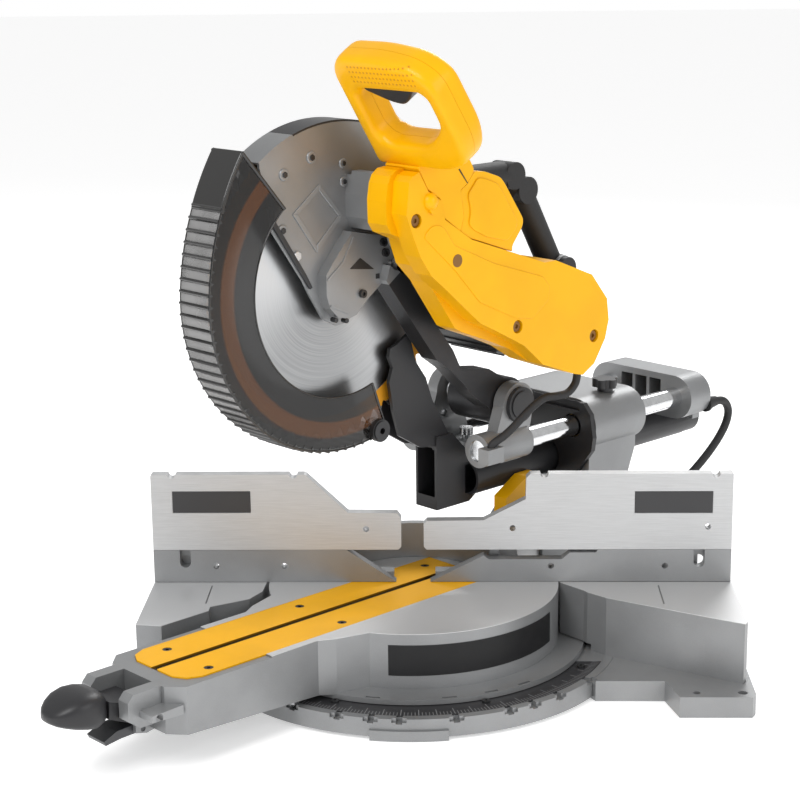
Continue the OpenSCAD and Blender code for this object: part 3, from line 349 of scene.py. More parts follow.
for part in frame["record"]["subparts"]:
    dress(part["node"], M[SLOT_MAT[part["material_slot"]]])


def bevelled(o, width, segments=3, angle=40):
    """Rounds an object's sharp edges in the render."""
    b = o.modifiers.new("edge", "BEVEL")
    b.width, b.segments, b.limit_method, b.angle_limit = width, segments, "ANGLE", math.radians(angle)
    b.profile, b.material = 0.5, -1
    return o


def new_piece(name, bm, material, body=None, slot=None, smooth=35.0):
    """An object of the scene made from a bmesh, riding on a body."""
    me = bpy.data.meshes.new(name)
    bm.normal_update()
    bm.to_mesh(me)
    bm.free()
    o = bpy.data.objects.new(name, me)
    bpy.context.scene.collection.objects.link(o)
    me.materials.append(material)
    if smooth:
        for p in me.polygons:
            p.use_smooth = True
        me.set_sharp_from_angle(angle=math.radians(smooth))
    if body:
        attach(o, body)
    return o


# ---- Cords ----
def catmull(points, n):
    """A smooth curve through the points, with n steps from each to the next."""
    out = []
    for i in range(len(points) - 1):
        a, b, c, d = (points[min(len(points) - 1, max(0, k))] for k in (i - 1, i, i + 1, i + 2))
        for k in range(n):
            t = k / n
            bend, twist = 2 * a - 5 * b + 4 * c - d, 3 * b - a - 3 * c + d
            out.append(0.5 * (2 * b + (c - a) * t + bend * t * t + twist * t ** 3))
    out.append(points[-1])
    return out


def sweep(path, r, sides):
    """A round tube of radius r along a path."""
    bm = bmesh.new()
    rings = []
    u = (path[1] - path[0]).normalized().orthogonal().normalized()
    spokes = [(math.cos(2 * math.pi * k / sides), math.sin(2 * math.pi * k / sides)) for k in range(sides)]
    for i, p in enumerate(path):
        t = (path[min(i + 1, len(path) - 1)] - path[max(i - 1, 0)]).normalized()
        u = (u - t * u.dot(t)).normalized()
        v = t.cross(u)
        rings.append([bm.verts.new(p + r * (c * u + q * v)) for c, q in spokes])
    for a, b in zip(rings, rings[1:]):
        for k in range(sides):
            bm.faces.new((a[k], a[(k + 1) % sides], b[(k + 1) % sides], b[k]))
    bm.faces.new(list(reversed(rings[0])))
    bm.faces.new(rings[-1])
    return bm


CORD_R = 0.0045
ROUTE = [
    (63, 406, 207), (63, 418, 205), (62, 427, 199), (61, 432, 190), (60, 431, 179), (59, 425, 168),
    (58, 414, 156), (56, 400, 143), (54, 384, 131), (51, 366, 118), (48, 350, 102), (45, 338, 84),
    (41, 330, 64), (38, 326, 44), (36, 328, 26), (35, 336, 13), (33, 348, 6), (30, 363, 4.6),
    (24, 381, 4.6), (16, 399, 4.6), (10, 415, 4.7)]
COIL = (-49.0, 431.0)                   # the coil's centre on the bench, in the arm's frame
COIL_TURNS = 4.5
TURN_STEPS = 48
FIRST_STEP = 6
RISE = 0.2                              # the share of a turn in which the lead moves to its next place
cord_path = catmull([arm(*p) for p in ROUTE], 6)


def ease(t):
    """0 to 1, slow at both ends."""
    t = min(1.0, max(0.0, t))
    return t * t * (3 - 2 * t)


# radius and height of each turn of the coil
LAYERS = [(56.6, 5.0), (47.4, 5.0), (47.4, 14.2), (56.6, 14.2), (56.6, 23.3), (56.6, 23.3)]
turns = []
for k in range(FIRST_STEP, int(COIL_TURNS * TURN_STEPS) + 1):
    t = k / TURN_STEPS
    i = int(t)
    w = ease((t - i - (1 - RISE)) / RISE)
    r = LAYERS[i][0] + (LAYERS[i + 1][0] - LAYERS[i][0]) * w
    z = LAYERS[i][1] + (LAYERS[i + 1][1] - LAYERS[i][1]) * w
    turns.append(arm(COIL[0] + r * math.cos(2 * math.pi * t), COIL[1] + r * math.sin(2 * math.pi * t), z))
tail = [arm(-104.5, 420, 21.5), arm(-102.5, 411, 15), arm(-101.2, 403, 11.5), arm(-101, 396, 11)]
to_coil = catmull([cord_path[-1], turns[0]], 3)[1:-1]
cord_path = cord_path + to_coil + turns + catmull([turns[-1]] + tail, 4)[1:]
cord = new_piece("mains_lead", sweep(cord_path, CORD_R, 16), M["rubber"], None, None, 60)
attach(cord, "carriage")
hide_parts("mains_cord", "cord_coil")
CORD_LENGTH = sum((b - a).length for a, b in zip(cord_path, cord_path[1:]))
print("cord length", CORD_LENGTH)
arm(*ROUTE[0])

# ---- Helpers for pieces on the arm's side planes ----
def polar(c, r, deg):
    """A point at radius r and an angle round c."""
    return (c[0] + r * math.cos(math.radians(deg)), c[1] + r * math.sin(math.radians(deg)))


def arc(c, r, a0, a1, n):
    """n + 1 points of an arc from angle a0 to a1."""
    return [polar(c, r, a0 + (a1 - a0) * i / n) for i in range(n + 1)]


def round_off(points, r, n=4):
    """Rounds the corners of a closed outline; r is one radius or one for each corner."""
    out = []
    k = len(points)
    for i, p in enumerate(points):
        rr = r[i] if isinstance(r, (list, tuple)) else r
        a, b, c = Vector(points[i - 1]), Vector(p), Vector(points[(i + 1) % k])
        u, v = a - b, c - b
        cut = min(rr, 0.48 * u.length, 0.48 * v.length)
        if cut < 0.05:
            out.append(tuple(b))
            continue
        s, e = b + u.normalized() * cut, b + v.normalized() * cut
        for j in range(n + 1):
            t = j / n
            out.append(tuple((1 - t) ** 2 * s + 2 * t * (1 - t) * b + t * t * e))
    return out


def prism(outline, place0, place1):
    """A closed solid between two placed copies of an outline."""
    bm = bmesh.new()
    a = [bm.verts.new(place0(*p)) for p in outline]
    b = [bm.verts.new(place1(*p)) for p in outline]
    n = len(outline)
    bm.faces.new(a)
    bm.faces.new(list(reversed(b)))
    for i in range(n):
        bm.faces.new((a[i], b[i], b[(i + 1) % n], a[(i + 1) % n]))
    bmesh.ops.recalc_face_normals(bm, faces=bm.faces)
    return bm


def slab_mesh(outline, x0, x1):
    """A solid plate from x0 to x1 on the arm's side plane; outline holds [reach, height]."""
    return prism(outline, lambda a, h: side(a, h, x0), lambda a, h: side(a, h, x1))


def side_slab(name, outline, x0, x1, material, body, slot, edge=0.0008, smooth=35.0):
    """A slab_mesh as a piece, with its edges rounded by the width edge."""
    o = new_piece(name, slab_mesh(outline, x0, x1), material, body, slot, smooth)
    return bevelled(o, edge) if edge else o


def bar(p, q, r, sides=32, r2=None):
    """A cylinder or cone from p to q."""
    bm = bmesh.new()
    d = q - p
    turn = Matrix.Translation((p + q) / 2) @ d.to_track_quat("Z", "Y").to_matrix().to_4x4()
    bmesh.ops.create_cone(bm, cap_ends=True, segments=sides, radius1=r, radius2=r if r2 is None else r2,
                          depth=d.length, matrix=turn)
    return bm


def boss(name, at, x0, x1, r, material, body, slot, r2=None, sides=32, edge=0.0006):
    """A round or cornered stud across the side planes x0 and x1; r2 is its radius at x1."""
    o = new_piece(name, bar(side(*at, x0), side(*at, x1), r / 1000, sides, None if r2 is None else r2 / 1000),
                  material, body, slot, 40)
    return bevelled(o, edge, 2) if edge else o


def merge(name, parts, material, body, slot, smooth=35.0):
    """Joins several bmeshes into one piece."""
    bm = bmesh.new()
    for p in parts:
        me = bpy.data.meshes.new("t")
        p.to_mesh(me)
        p.free()
        bm.from_mesh(me)
        bpy.data.meshes.remove(me)
    return new_piece(name, bm, material, body, slot, smooth)


ARBOR = (106.0, 320.0)                  # the blade's axis: reach and height


def wheel_coords(m, centre):
    """Reach and height from a side-plane centre, and the radius, in metres."""
    x, y, z = m.xyz(turned=True)
    a = -y - centre[0] / 1000
    h = z - (TABLE_H + centre[1]) / 1000
    return x, a, h, (a * a + h * h).sqrt()


def along(m, *values):
    """Noise looked up at made coordinates."""
    n = m.t.nodes.new("ShaderNodeTexNoise")
    n.inputs["Scale"].default_value = 1.0
    n.inputs["Detail"].default_value = 3.0
    c = m.t.nodes.new("ShaderNodeCombineXYZ")
    for i, v in enumerate(values):
        m.t.links.new(v.s, c.inputs[i])
    m.t.links.new(c.outputs[0], n.inputs["Vector"])
    return V(m.t, n.outputs["Fac"])


# ---- Blade ----
def blade_material():
    """Ground steel with faint rings, a painted sheen that brightens it by angle round the axis, and an orange
    band inside the teeth.
    """
    m = Mat("ground_blade", (0.55, 0.56, 0.57), 0.3, 1.0)
    x, a, h, r = wheel_coords(m, ARBOR)
    ground = along(m, r * 900.0, h.atan2(a) * 0.6)
    # painted sheen: a bright band by angle round the axis stands in for the blade's reflection
    painted_sheen = (h.atan2(a) * 2.0 + 0.9).sin() * 0.5 + 0.5
    base = m.mix(ground.step(0.2, 0.8), (0.27, 0.275, 0.28), (0.36, 0.365, 0.37))
    base = m.mix(painted_sheen * painted_sheen * 0.75, base, (0.72, 0.73, 0.74))
    band = r.step(0.1262, 0.1268) * (1.0 - r.step(0.1435, 0.1440))
    m.paint(m.mix(band, base, (0.78, 0.34, 0.015)))
    m.metal(1.0 - band * 0.9)
    m.gloss(0.28 + ground * 0.06 + band * 0.14)
    return m.bump(ground, 0.000006).done()


BLADE_R = 150.0
TEETH = 60
# one tooth: how far below the tip circle, and the share of the pitch
TOOTH = ((0.0, 0.0), (5.5, 0.05), (8.6, 0.16), (9.4, 0.30), (8.2, 0.44), (4.4, 0.60), (1.2, 0.86))


def blade_mesh():
    """The toothed blade, 2.4 mm thick."""
    pitch = 360 / TEETH
    rim = [polar(ARBOR, BLADE_R - drop, pitch * (i + share)) for i in range(TEETH) for drop, share in TOOTH]
    return slab_mesh(rim, -1.2, 1.2)


saw = new_piece("saw_blade", blade_mesh(), blade_material(), "blade", "steel", 30)
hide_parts("blade")

# ---- Lower guard: smoky walls, ribbed rim, black ends ----
def smoky(name, color, alpha, rough=0.08):
    """See-through moulded plastic."""
    m = Mat(name, color, rough, 0.0, 0.3)
    cloud = m.noise(30, 3)
    m.paint(m.mix(cloud.step(0.3, 0.7), shade(color, 0.85), shade(color, 1.2)))
    m.b.inputs["Alpha"].default_value = alpha
    m.gloss(rough + cloud * 0.08)
    return m.done()


GUARD_R = 155.4
GUARD_INNER = 104
GUARD_FROM, GUARD_TO = -110, 50         # degrees round the blade's axis, 0 towards the operator
NOSE_FROM, NOSE_GROWS = 5, 20           # past this angle the rim swings out by this much
WALL_IN, WALL_OUT = 18.6, 20.4          # the guard walls' faces, from the blade's plane


def guard_out(d):
    """The rim's radius at an angle of the guard."""
    if d <= NOSE_FROM:
        return GUARD_R
    return GUARD_R + NOSE_GROWS * ((d - NOSE_FROM) / (GUARD_TO - NOSE_FROM)) ** 2


def wall_material():
    """Dark see-through guard wall, with the blade's orange band showing through faintly."""
    m = Mat("smoky_wall", (0.008, 0.007, 0.006), 0.07, 0.0, 0.4)
    x, a, h, r = wheel_coords(m, ARBOR)
    cloud = m.noise(30, 3)
    band = r.step(0.1265, 0.1285) * (1.0 - r.step(0.1415, 0.1435))
    smoke = m.mix(cloud.step(0.3, 0.7), (0.004, 0.0035, 0.003), (0.008, 0.007, 0.0065))
    m.paint(m.mix(band, smoke, (0.085, 0.028, 0.004)))
    m.b.inputs["Alpha"].default_value = 0.76
    m.b.inputs["Specular IOR Level"].default_value = 0.3
    m.gloss(0.05 + cloud * 0.05)
    return m.done()


SMOKE = wall_material()
SMOKE_RIM = smoky("smoky_rim", (0.30, 0.298, 0.296), 0.55)
GUARD_BLACK = plastic("guard_black", (0.012, 0.0115, 0.011), 0.2, 0.4)
GUARD_PART = (GUARD_BLACK, "lower_guard", "smoky_plastic")
degs = [GUARD_FROM + (GUARD_TO - GUARD_FROM) * i / 80 for i in range(81)]


def band_outline(angles, r_out, r_in):
    """A closed outline between two radii, each worked out from the angle."""
    return [polar(ARBOR, r_out(d), d) for d in angles] + [polar(ARBOR, r_in(d), d) for d in reversed(angles)]


wall = band_outline(degs, lambda d: guard_out(d) - 1.8, lambda d: GUARD_INNER)
for x0, x1, label in ((WALL_IN, WALL_OUT, "right"), (-WALL_OUT, -WALL_IN, "left")):
    g = side_slab("guard_wall_" + label, wall, x0, x1, SMOKE, "lower_guard", "smoky_plastic", 0)
    if label == "right":
        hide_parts("lower_guard")
rim = band_outline(degs, guard_out, lambda d: guard_out(d) - 1.8)
side_slab("guard_rim", rim, -WALL_OUT, WALL_OUT, SMOKE_RIM, "lower_guard", "smoky_plastic", 0)
RIBS, RIB_FROM, RIB_PITCH = 36, -106, 3.95
# outline of a rib's tip: past the rim, and degrees from its middle
RIB_TIP = ((-0.4, -0.75), (1.5, -0.35), (2.0, 0), (1.5, 0.35), (-0.4, 0.75))
ribs = []
for i in range(RIBS):
    d = RIB_FROM + RIB_PITCH * i
    ro = guard_out(d)
    ribs.append(slab_mesh([polar(ARBOR, ro + out, d + off) for out, off in RIB_TIP], -WALL_OUT, WALL_OUT))
    foot = [polar(ARBOR, ro - 0.6, d - 0.8), polar(ARBOR, ro - 0.6, d + 0.8), polar(ARBOR, ro - 4.5, d)]
    ribs.append(slab_mesh(foot, WALL_OUT, WALL_OUT + 0.5))
merge("guard_ribs", ribs, *GUARD_PART, 30)
# beads along both walls' edges and across their ends
bead = []


def end_bead(x, deg, r_out, radius):
    """A bead along the guard's end, from its inner edge to r_out."""
    run = (r_out - GUARD_INNER) / 12
    bead.append(sweep([side(*polar(ARBOR, GUARD_INNER + run * i, deg), x) for i in range(13)], radius, 8))


for x in (WALL_OUT, -WALL_OUT):
    bead.append(sweep([side(*polar(ARBOR, guard_out(d) - 0.5, d), x) for d in degs], 0.0010, 8))
    bead.append(sweep([side(*polar(ARBOR, GUARD_INNER + 0.4, d), x) for d in degs], 0.0008, 8))
    end_bead(x, GUARD_TO - 0.4, guard_out(GUARD_TO), 0.0019)
    end_bead(x, GUARD_FROM + 0.3, GUARD_R, 0.0013)
merge("guard_beads", bead, *GUARD_PART, 60)
CAP_SPAN = 19
cap_degs = [GUARD_TO - CAP_SPAN + CAP_SPAN * i / 12 for i in range(13)]
cap = band_outline(cap_degs, lambda d: guard_out(d) + 1.2, lambda d: guard_out(d) - 3.5)
side_slab("guard_top", cap, -WALL_OUT - 0.8, WALL_OUT + 0.8, *GUARD_PART, 0.0012)
# hub and two spokes on the far side
HUB_R = 34
hub_parts = [slab_mesh(arc(ARBOR, HUB_R, 0, 345, 23), -WALL_OUT - 0.1, -WALL_IN)]
for d in (-70, 20):
    c, s = math.cos(math.radians(d)), math.sin(math.radians(d))
    spoke = ((25, -11), (110, -9), (110, 9), (25, 11))
    quad = [(ARBOR[0] + c * u - s * v, ARBOR[1] + s * u + c * v) for u, v in spoke]
    hub_parts.append(slab_mesh(quad, -WALL_OUT - 0.1, -WALL_IN))
merge("guard_spokes", hub_parts, *GUARD_PART, 40)

# ---- D handle: x across, z up the loop, y its thickness, all in millimetres ----
LEAN = math.radians(32)
GRIP_AT = (130, 536)                    # reach, and height above the table, of the loop's own origin
GRIP_HALF = 17
HEAD_YELLOW = (M["yellow"], "head", "yellow_plastic")
HEAD_CAST = (M["cast"], "head", "cast_aluminium")
HEAD_DARK = (M["dark_steel"], "head", "dark_steel")


def grip(x, y, z):
    """A point of the loop's own frame, in the row frame."""
    yy = y * math.cos(LEAN) - z * math.sin(LEAN)
    zz = y * math.sin(LEAN) + z * math.cos(LEAN)
    return arm(x, yy - GRIP_AT[0], TABLE_H + GRIP_AT[1] + zz)


def tube_faces(bm, rows, closed=False):
    """Faces between rings of points; closed joins the last ring to the first."""
    pairs = list(zip(rows, rows[1:])) + ([(rows[-1], rows[0])] if closed else [])
    for a, b in pairs:
        n = len(a)
        for k in range(n):
            bm.faces.new((a[k], a[(k + 1) % n], b[(k + 1) % n], b[k]))


def curved(value, n):
    """A superellipse's coordinate for a cosine or a sine."""
    return math.copysign(abs(value) ** (2 / n), value)


def loop_mesh(outer, inner, y0, y1, n=4.0, steps=14):
    """Half of a padded ring between two matched outlines: y runs from y0 to y1 of its thickness."""
    bm = bmesh.new()
    rings = []
    for j in range(steps + 1):
        f = math.pi * (j / steps)           # from the outer side round to the inner side
        w = 0.5 - 0.5 * curved(math.cos(f), n)
        y = y0 + (y1 - y0) * abs(math.sin(f)) ** (2 / n)
        rings.append([bm.verts.new(grip(o[0] + (i[0] - o[0]) * w, y, o[1] + (i[1] - o[1]) * w))
                      for o, i in zip(outer, inner)])
    tube_faces(bm, rings, closed=True)
    bmesh.ops.recalc_face_normals(bm, faces=bm.faces)
    return bm


def inward(points, others, share):
    """Points moved towards their partners on another outline."""
    return [tuple(Vector(p) + (Vector(q) - Vector(p)) * share) for p, q in zip(points, others)]


GRIP_OUT = [(48, -6), (60, 5.5), (110, 5.5), (148, -2), (168, -18), (171, -80), (163, -103), (140, -112),
            (95, -112), (50, -112)]
GRIP_IN = [(64.5, -36), (72, -29), (110, -29), (148, -29), (154.5, -35), (155, -60), (138, -77), (122, -87),
           (76, -87), (64.5, -76)]
go = round_off(GRIP_OUT, [9, 12, 30, 22, 20, 18, 16, 16, 20, 3], 6)
gi = round_off(GRIP_IN, [7, 6, 20, 6, 7, 16, 18, 10, 10, 10], 6)
SEAM = 0.15                             # half the gap between the two halves
front = new_piece("grip_front", loop_mesh(go, gi, -SEAM, -GRIP_HALF), *HEAD_YELLOW, 50)
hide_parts("handle_front")
new_piece("grip_rear", loop_mesh(go, gi, SEAM, GRIP_HALF), *HEAD_YELLOW, 50)
bm = bmesh.new()
core, core_in = inward(go, gi, 0.03), inward(gi, go, 0.03)
seam_rows = [[bm.verts.new(grip(p[0], y, p[1])) for p in ring]
             for ring in (core, core_in) for y in (-0.5, 0.5)]
tube_faces(bm, [seam_rows[i] for i in (0, 1, 3, 2)], closed=True)
bmesh.ops.recalc_face_normals(bm, faces=bm.faces)
new_piece("grip_seam", bm, M["dark_seam"], "head", "black_plastic", 50)
# dimple rows on the bar's front, coloured darker as painted shade in the dimples
bm = bmesh.new()
bm.from_mesh(front.data)
grip_tree = BVHTree.FromBMesh(bm)
bm.free()
dimples = []
for row in range(4):
    for i in range(18):
        at = (73 + 4.5 * i, -3 - 5 * row)
        ray = (grip(at[0], 0, at[1]) - grip(at[0], -30, at[1])).normalized()
        spot = grip_tree.ray_cast(grip(at[0], -30, at[1]), ray)[0]
        if spot:
            dimples.append(bar(spot - ray * 0.00025, spot + ray * 0.001, 0.0010, 10))
# painted shade: the dimples take a darker yellow for the shade in them
DIMPLE_SHADE = plastic("grip_dimple_shade", (0.62, 0.27, 0.0), 0.5)
merge("grip_dimples", dimples, DIMPLE_SHADE, "head", "yellow_plastic", 40)
# neck between the loop and the belt cover
neck = [(88, 434.5), (76.5, 414.6), (60.6, 404.3), (55.6, 386.4), (35.5, 372), (31, 385), (35.1, 410),
        (27, 414.2), (17, 426), (24, 438), (34, 447), (54, 457), (70, 450)]
neck_r = [1, 1, 1, 1, 1, 2, 2, 3, 4, 6, 6, 4, 4]
neck_o = side_slab("handle_neck", round_off(neck, neck_r), 60.4, 104, *HEAD_YELLOW, 0.004)
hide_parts("handle_rear")
# ---- Trigger: a curved black lever under the bar ----
trig = [(68, -22), (128, -22), (128.5, -33), (121, -41.5), (112.5, -47), (104, -46.6), (95, -44.5),
        (80, -38.8), (68, -34)]
lever = prism(round_off(trig, 4), lambda x, z: grip(x, -8, z), lambda x, z: grip(x, 8, z))
trigger = new_piece("trigger_lever", lever, M["black"], "trigger", "black_plastic", 40)
bevelled(trigger, 0.002)
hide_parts("trigger")

# ---- Switch pod: rounded, with a raised border and a dark slit ----
POD = [(22, 364), (34.7, 372), (30.5, 385), (34.7, 409.5), (26.5, 413.6), (16.4, 425.3), (3, 423.5),
       (-17.5, 416.5), (-23, 411), (-49, 374), (-48, 367), (-34, 350), (-34, 344.8)]
POD_R = [1, 2, 3, 3, 2, 4, 4, 4, 5, 6, 6, 4, 1]
pod = side_slab("pod_shell", round_off(POD, POD_R), 62, 103.2, *HEAD_YELLOW, 0.003)
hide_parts("switch_pod")
inset = [(18, 371), (25, 377), (22, 389), (26, 405), (19, 412), (13, 419), (3, 417), (-13, 411),
         (-18, 405), (-40, 373), (-38, 366), (-26, 356), (2, 363)]
side_slab("pod_face", round_off(inset, 4), 103, 104.6, *HEAD_YELLOW, 0.0012)
slit = [(25.8, 414.8), (27.4, 415.6), (38, 428.6), (36.6, 429.2)]
side_slab("pod_slit", slit, 103.4, 104.4, M["dark_seam"], "head", "black_plastic", 0)

# ---- Belt cover: softened shell, raised bare panel, dome, screw pits painted dark as shade ----
bevelled(NODES["belt_cover"], 0.0030, 3, 28)
COVER = NODES["belt_cover"]
panel = arc((68, 366), 15.5, 20, 140, 10) + [
    (44.8, 360.5), (-8, 337), (-74, 316), (-84, 305), (-82, 292), (-60, 277), (-36, 281), (12, 303),
    (44, 337)]
cover_panel = side_slab("cover_panel", round_off(panel, 2.0, 2), 104.6, 106.0, *HEAD_YELLOW, 0.0010)
bm = bmesh.new()
dome_at = Matrix.Translation(side(*place("cover_dome", COVER)[:2], 103.6))
bmesh.ops.create_uvsphere(bm, u_segments=32, v_segments=16, radius=0.0082, matrix=dome_at)
new_piece("cover_dome", bm, *HEAD_YELLOW, 60)
# painted shade: the screw pits and their screws get a darkened yellow for the shade in the recesses
PIT_SHADE = plastic("painted_pit_shade", (0.20, 0.085, 0.006), 0.5)
dress("cover_screws", PIT_SHADE)
pits = [place("cover_pit_%d" % i, COVER, cover_panel) for i in range(2)]
for i, (a, h, x) in enumerate(pits):
    disc = bar(side(a, h, x - 0.4), side(a, h, x + 0.3), 0.0060, 32)
    new_piece("cover_pit_%d" % i, disc, PIT_SHADE, "head", "yellow_plastic", 40)

# ---- Head casting: silver guard wall and gear case, beam painted dark as shade ----
def casting_material():
    """Silver casting whose beam and knuckle, low and behind the guard, are painted dark as shade."""
    m = Mat("head_cast", SILVER, 0.42, 0.6)
    x, y, z = m.xyz(turned=True)
    a, h = -y * 1000.0, (z * 1000.0) - TABLE_H
    below = (332.0 - (a - 43.6) * 0.687 - h).step(-0.4, 0.4)
    beam = below * (1.0 - (a - 81.0).step(-0.4, 0.4)) * (x * 1000.0 - 16.2).step(-0.1, 0.1)
    knuckle = 1.0 - (h - 206.0).step(-0.5, 0.5)
    # painted shade: the beam and knuckle masks darken the silver where shade falls behind and under the guard
    dark = (beam + knuckle).clamp()
    cloud, fine = m.noise(14, 4), m.noise(900, 2)
    light = m.mix(cloud.step(0.3, 0.7), shade(SILVER, 0.9), shade(SILVER, 1.06))
    shade_tone = m.mix(cloud.step(0.3, 0.7), (0.030, 0.030, 0.032), (0.045, 0.045, 0.048))
    m.paint(m.mix(dark, light, shade_tone))
    m.gloss(0.40 + (fine - 0.5) * 0.16)
    return m.bump(fine, 0.00008).done()


dress("head_casting", casting_material())
bevelled(NODES["head_casting"], 0.0012, 2, 35)
# bosses, diamond rib and dark strip on the guard's near wall
HEAD = NODES["head_casting"]
wall_spots = [(place("wall_boss_%d" % i, HEAD)[:2], r) for i, r in enumerate((5.0, 5.0, 6.0))]
wall_spots += [((136.8, 441.4), 6.0), ((172.7, 379.2), 6.0)]
WALL = 15.8                             # the near wall's face, from the blade's plane
for i, (p, r) in enumerate(wall_spots):
    boss("wall_boss_%d" % i, p, WALL, 17.4, r, *HEAD_CAST, r - 0.8)
    boss("wall_screw_%d" % i, p, 17.3, 18.4, r * 0.52, *HEAD_DARK, sides=6)
boss("wall_nut", place("wall_nut", HEAD)[:2], WALL, 18.6, 5.0, M["steel"], "head", "steel", sides=6)
dia = [(128.6, 416.7), (100.5, 385.0), (133.4, 354.4), (160.8, 392.4)]
dia_in = [(128.8, 410.5), (106.3, 385.3), (133.0, 361.5), (154.8, 392.0)]
for i in range(4):
    j = (i + 1) % 4
    side_slab("wall_rib_%d" % i, [dia[i], dia[j], dia_in[j], dia_in[i]], WALL, 17.2, *HEAD_CAST, 0.0004)
strip = [(191.5, 402), (185.6, 385), (150.5, 333), (143.5, 322), (140.6, 323.6), (147.4, 336), (181, 387),
         (187, 404)]
side_slab("wall_strip", strip, 15.6, 18.8, M["black"], "head", "black_plastic", 0.0006)
# lug: triangle recess and square hole as dark shapes of painted shade on its face, ribs as raised shapes
LUG_0, LUG_1 = 27.7, 28.15
# painted shade: the recess and the hole on the cast lug are coloured dark steel
LUG_SHADE = (M["dark_steel"], "head", "cast_aluminium")
HOLE_HALF = 2.4
ta, th, _ = place("lug_triangle", HEAD)
sa, sh, _ = place("lug_square", HEAD)
triangle = round_off([(ta + 1.3, th + 7.5), (ta + 14.8, th - 1.5), (ta - 16.2, th - 5.5)], 1.5)
side_slab("lug_triangle", triangle, LUG_0, LUG_1, *LUG_SHADE, 0)
square = [(sa + i * HOLE_HALF, sh + j * HOLE_HALF) for i, j in ((-1, -1), (1, -1), (1, 1), (-1, 1))]
side_slab("lug_square", square, LUG_0, LUG_1, *LUG_SHADE, 0)


def line_outline(p, q, half):
    """A straight strip from p to q, with its half width."""
    p, q = Vector(p), Vector(q)
    d = (q - p).normalized() * half
    n = Vector((-d.y, d.x))
    return [tuple(p + n), tuple(q + n), tuple(q - n), tuple(p - n)]


ribs = [slab_mesh(line_outline(p, q, 0.9), 27.9, 29.0)
        for p, q in (((98, 366), (112, 344)), ((112, 344), (131, 330)), ((106, 296), (128, 306)))]
merge("lug_ribs", ribs, *HEAD_CAST)
for i, p in enumerate(((121.5, 291.6), (108.5, 289.2))):
    boss("lug_bolt_%d" % i, p, 22, 29, 2.6, *HEAD_DARK, sides=6)

# ---- Carrying handle: matt black tube with bright sockets ----
bevelled(NODES["carry_handle"], 0.0012, 2, 40)
for i, p in enumerate(((-20, 405), (-162, 306))):
    boss("carry_socket_%d" % i, p, 49.8, 53.8, 14.2 if i == 0 else 13.0, *HEAD_CAST)
sleeve = bar(side(-30, 405, 36), side(-88, 405, 36), 0.01405, 40)
new_piece("carry_sleeve", sleeve, M["rubber"], "head", "rubber", 50)

# ---- Motor: fins round the housing ----
MOTOR = (-108, 271)
FINS = 24
fins = []
for k in range(FINS):
    d = 360 // FINS * k
    fins.append(slab_mesh(line_outline(polar(MOTOR, 46.8, d), polar(MOTOR, 49.4, d), 1.1), -40, 34))
merge("motor_fins", fins, M["black"], "head", "black_plastic")
bevelled(NODES["motor_housing"], 0.0025, 3, 40)

# ---- Jumper cable: a curved lead between the carriage and the head ----
JUMPER = [(88, 145, 287), (88, 142, 277), (87, 132, 269), (85, 118, 268), (82, 104, 268), (79, 92, 262),
          (76, 80, 253), (73, 68, 243), (71, 57, 236), (69, 49, 232), (67, 44, 228), (67, 43, 224)]
JUMPER_R = 0.0040
jumper_path = catmull([arm(*p) for p in reversed(JUMPER)], 5)
jumper = new_piece("jumper_lead", sweep(jumper_path, JUMPER_R, 16), M["rubber"], None, None, 60)
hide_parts("jumper_cable")
arm(*JUMPER[-2])
arm(*JUMPER[0])
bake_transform(jumper)

# ---- Mitre lock paddle: a rounded black grip ----
def loft(stations, sides=28, n=2.6):
    """Superellipse sections along the arm: reach, half width, lowest and highest height above the table."""
    bm = bmesh.new()
    rows = []
    angles = [2 * math.pi * k / sides for k in range(sides)]
    for reach, half, low, high in stations:
        mid, tall = (low + high) / 2, (high - low) / 2
        ring = [(mid + tall * curved(math.sin(t), n), half * curved(math.cos(t), n)) for t in angles]
        rows.append([bm.verts.new(side(reach, h, x)) for h, x in ring])
    tube_faces(bm, rows)
    bm.faces.new(rows[0])
    bm.faces.new(rows[-1])
    bmesh.ops.recalc_face_normals(bm, faces=bm.faces)
    return bm


PADDLE = [
    (384.4, 16, -27, -4), (390, 21, -30, 2), (398, 25, -31, 3.6), (408, 26, -29, 3.9), (418, 24.5, -26, 1.6),
    (426, 20.5, -23, -2), (432, 15.5, -20.5, -6), (436, 9.5, -18, -9), (437.5, 3, -15.5, -12)]
stem = [(345, -31), (350, -15), (366, -15), (385, -8), (386, -24), (366, -33)]
paddle = merge("lock_paddle", [loft(PADDLE, n=3.4), slab_mesh(stem, -20.2, 20.2)], M["black"], "mitre_lock",
               "black_plastic", 50)
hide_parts("mitre_lock_handle")

# ---- Fences, base and turntable ----
for n in ("left_sliding_fence", "right_sliding_fence"):
    bevelled(NODES[n], 0.0012, 2, 35)
for n in ("base_casting", "turntable", "lower_fence", "rail_housing", "rear_end_cap", "housing_front_plate",
          "dust_duct"):
    bevelled(NODES[n], 0.0016, 2, 40)
for n in ("left_fence_knob", "right_fence_knob", "mitre_latch", "bevel_clamp_lever", "rail_lock_knob",
          "bevel_stop", "yoke", "pivot_cap", "mains_plug"):
    bevelled(NODES[n], 0.0009, 2, 40)
PLATE = plastic("bare_plate", (0.030, 0.030, 0.032), 0.38)


def fence_plate(name, x0, x1, h0, h1, body):
    """A bare dark plate on a fence's front face, in the mitre frame."""
    bm = bmesh.new()
    bmesh.ops.create_cube(bm, size=1.0)
    lo, hi = Vector((x0, 0.05, TABLE_H + h0)), Vector((x1, 0.85, TABLE_H + h1))
    for v in bm.verts:
        v.co = (lo + (hi - lo) * 0.5 + Vector([v.co[k] * (hi - lo)[k] for k in range(3)])) / 1000 + MITRE
    return bevelled(new_piece(name, bm, PLATE, body, "grey_plastic"), 0.0006, 2)


fence_plate("plate_left", -240.6, -162.4, 73.4, 95.6, "left_fence")
fence_plate("plate_right", 220.9, 298.1, 72.4, 94.6, "right_fence")


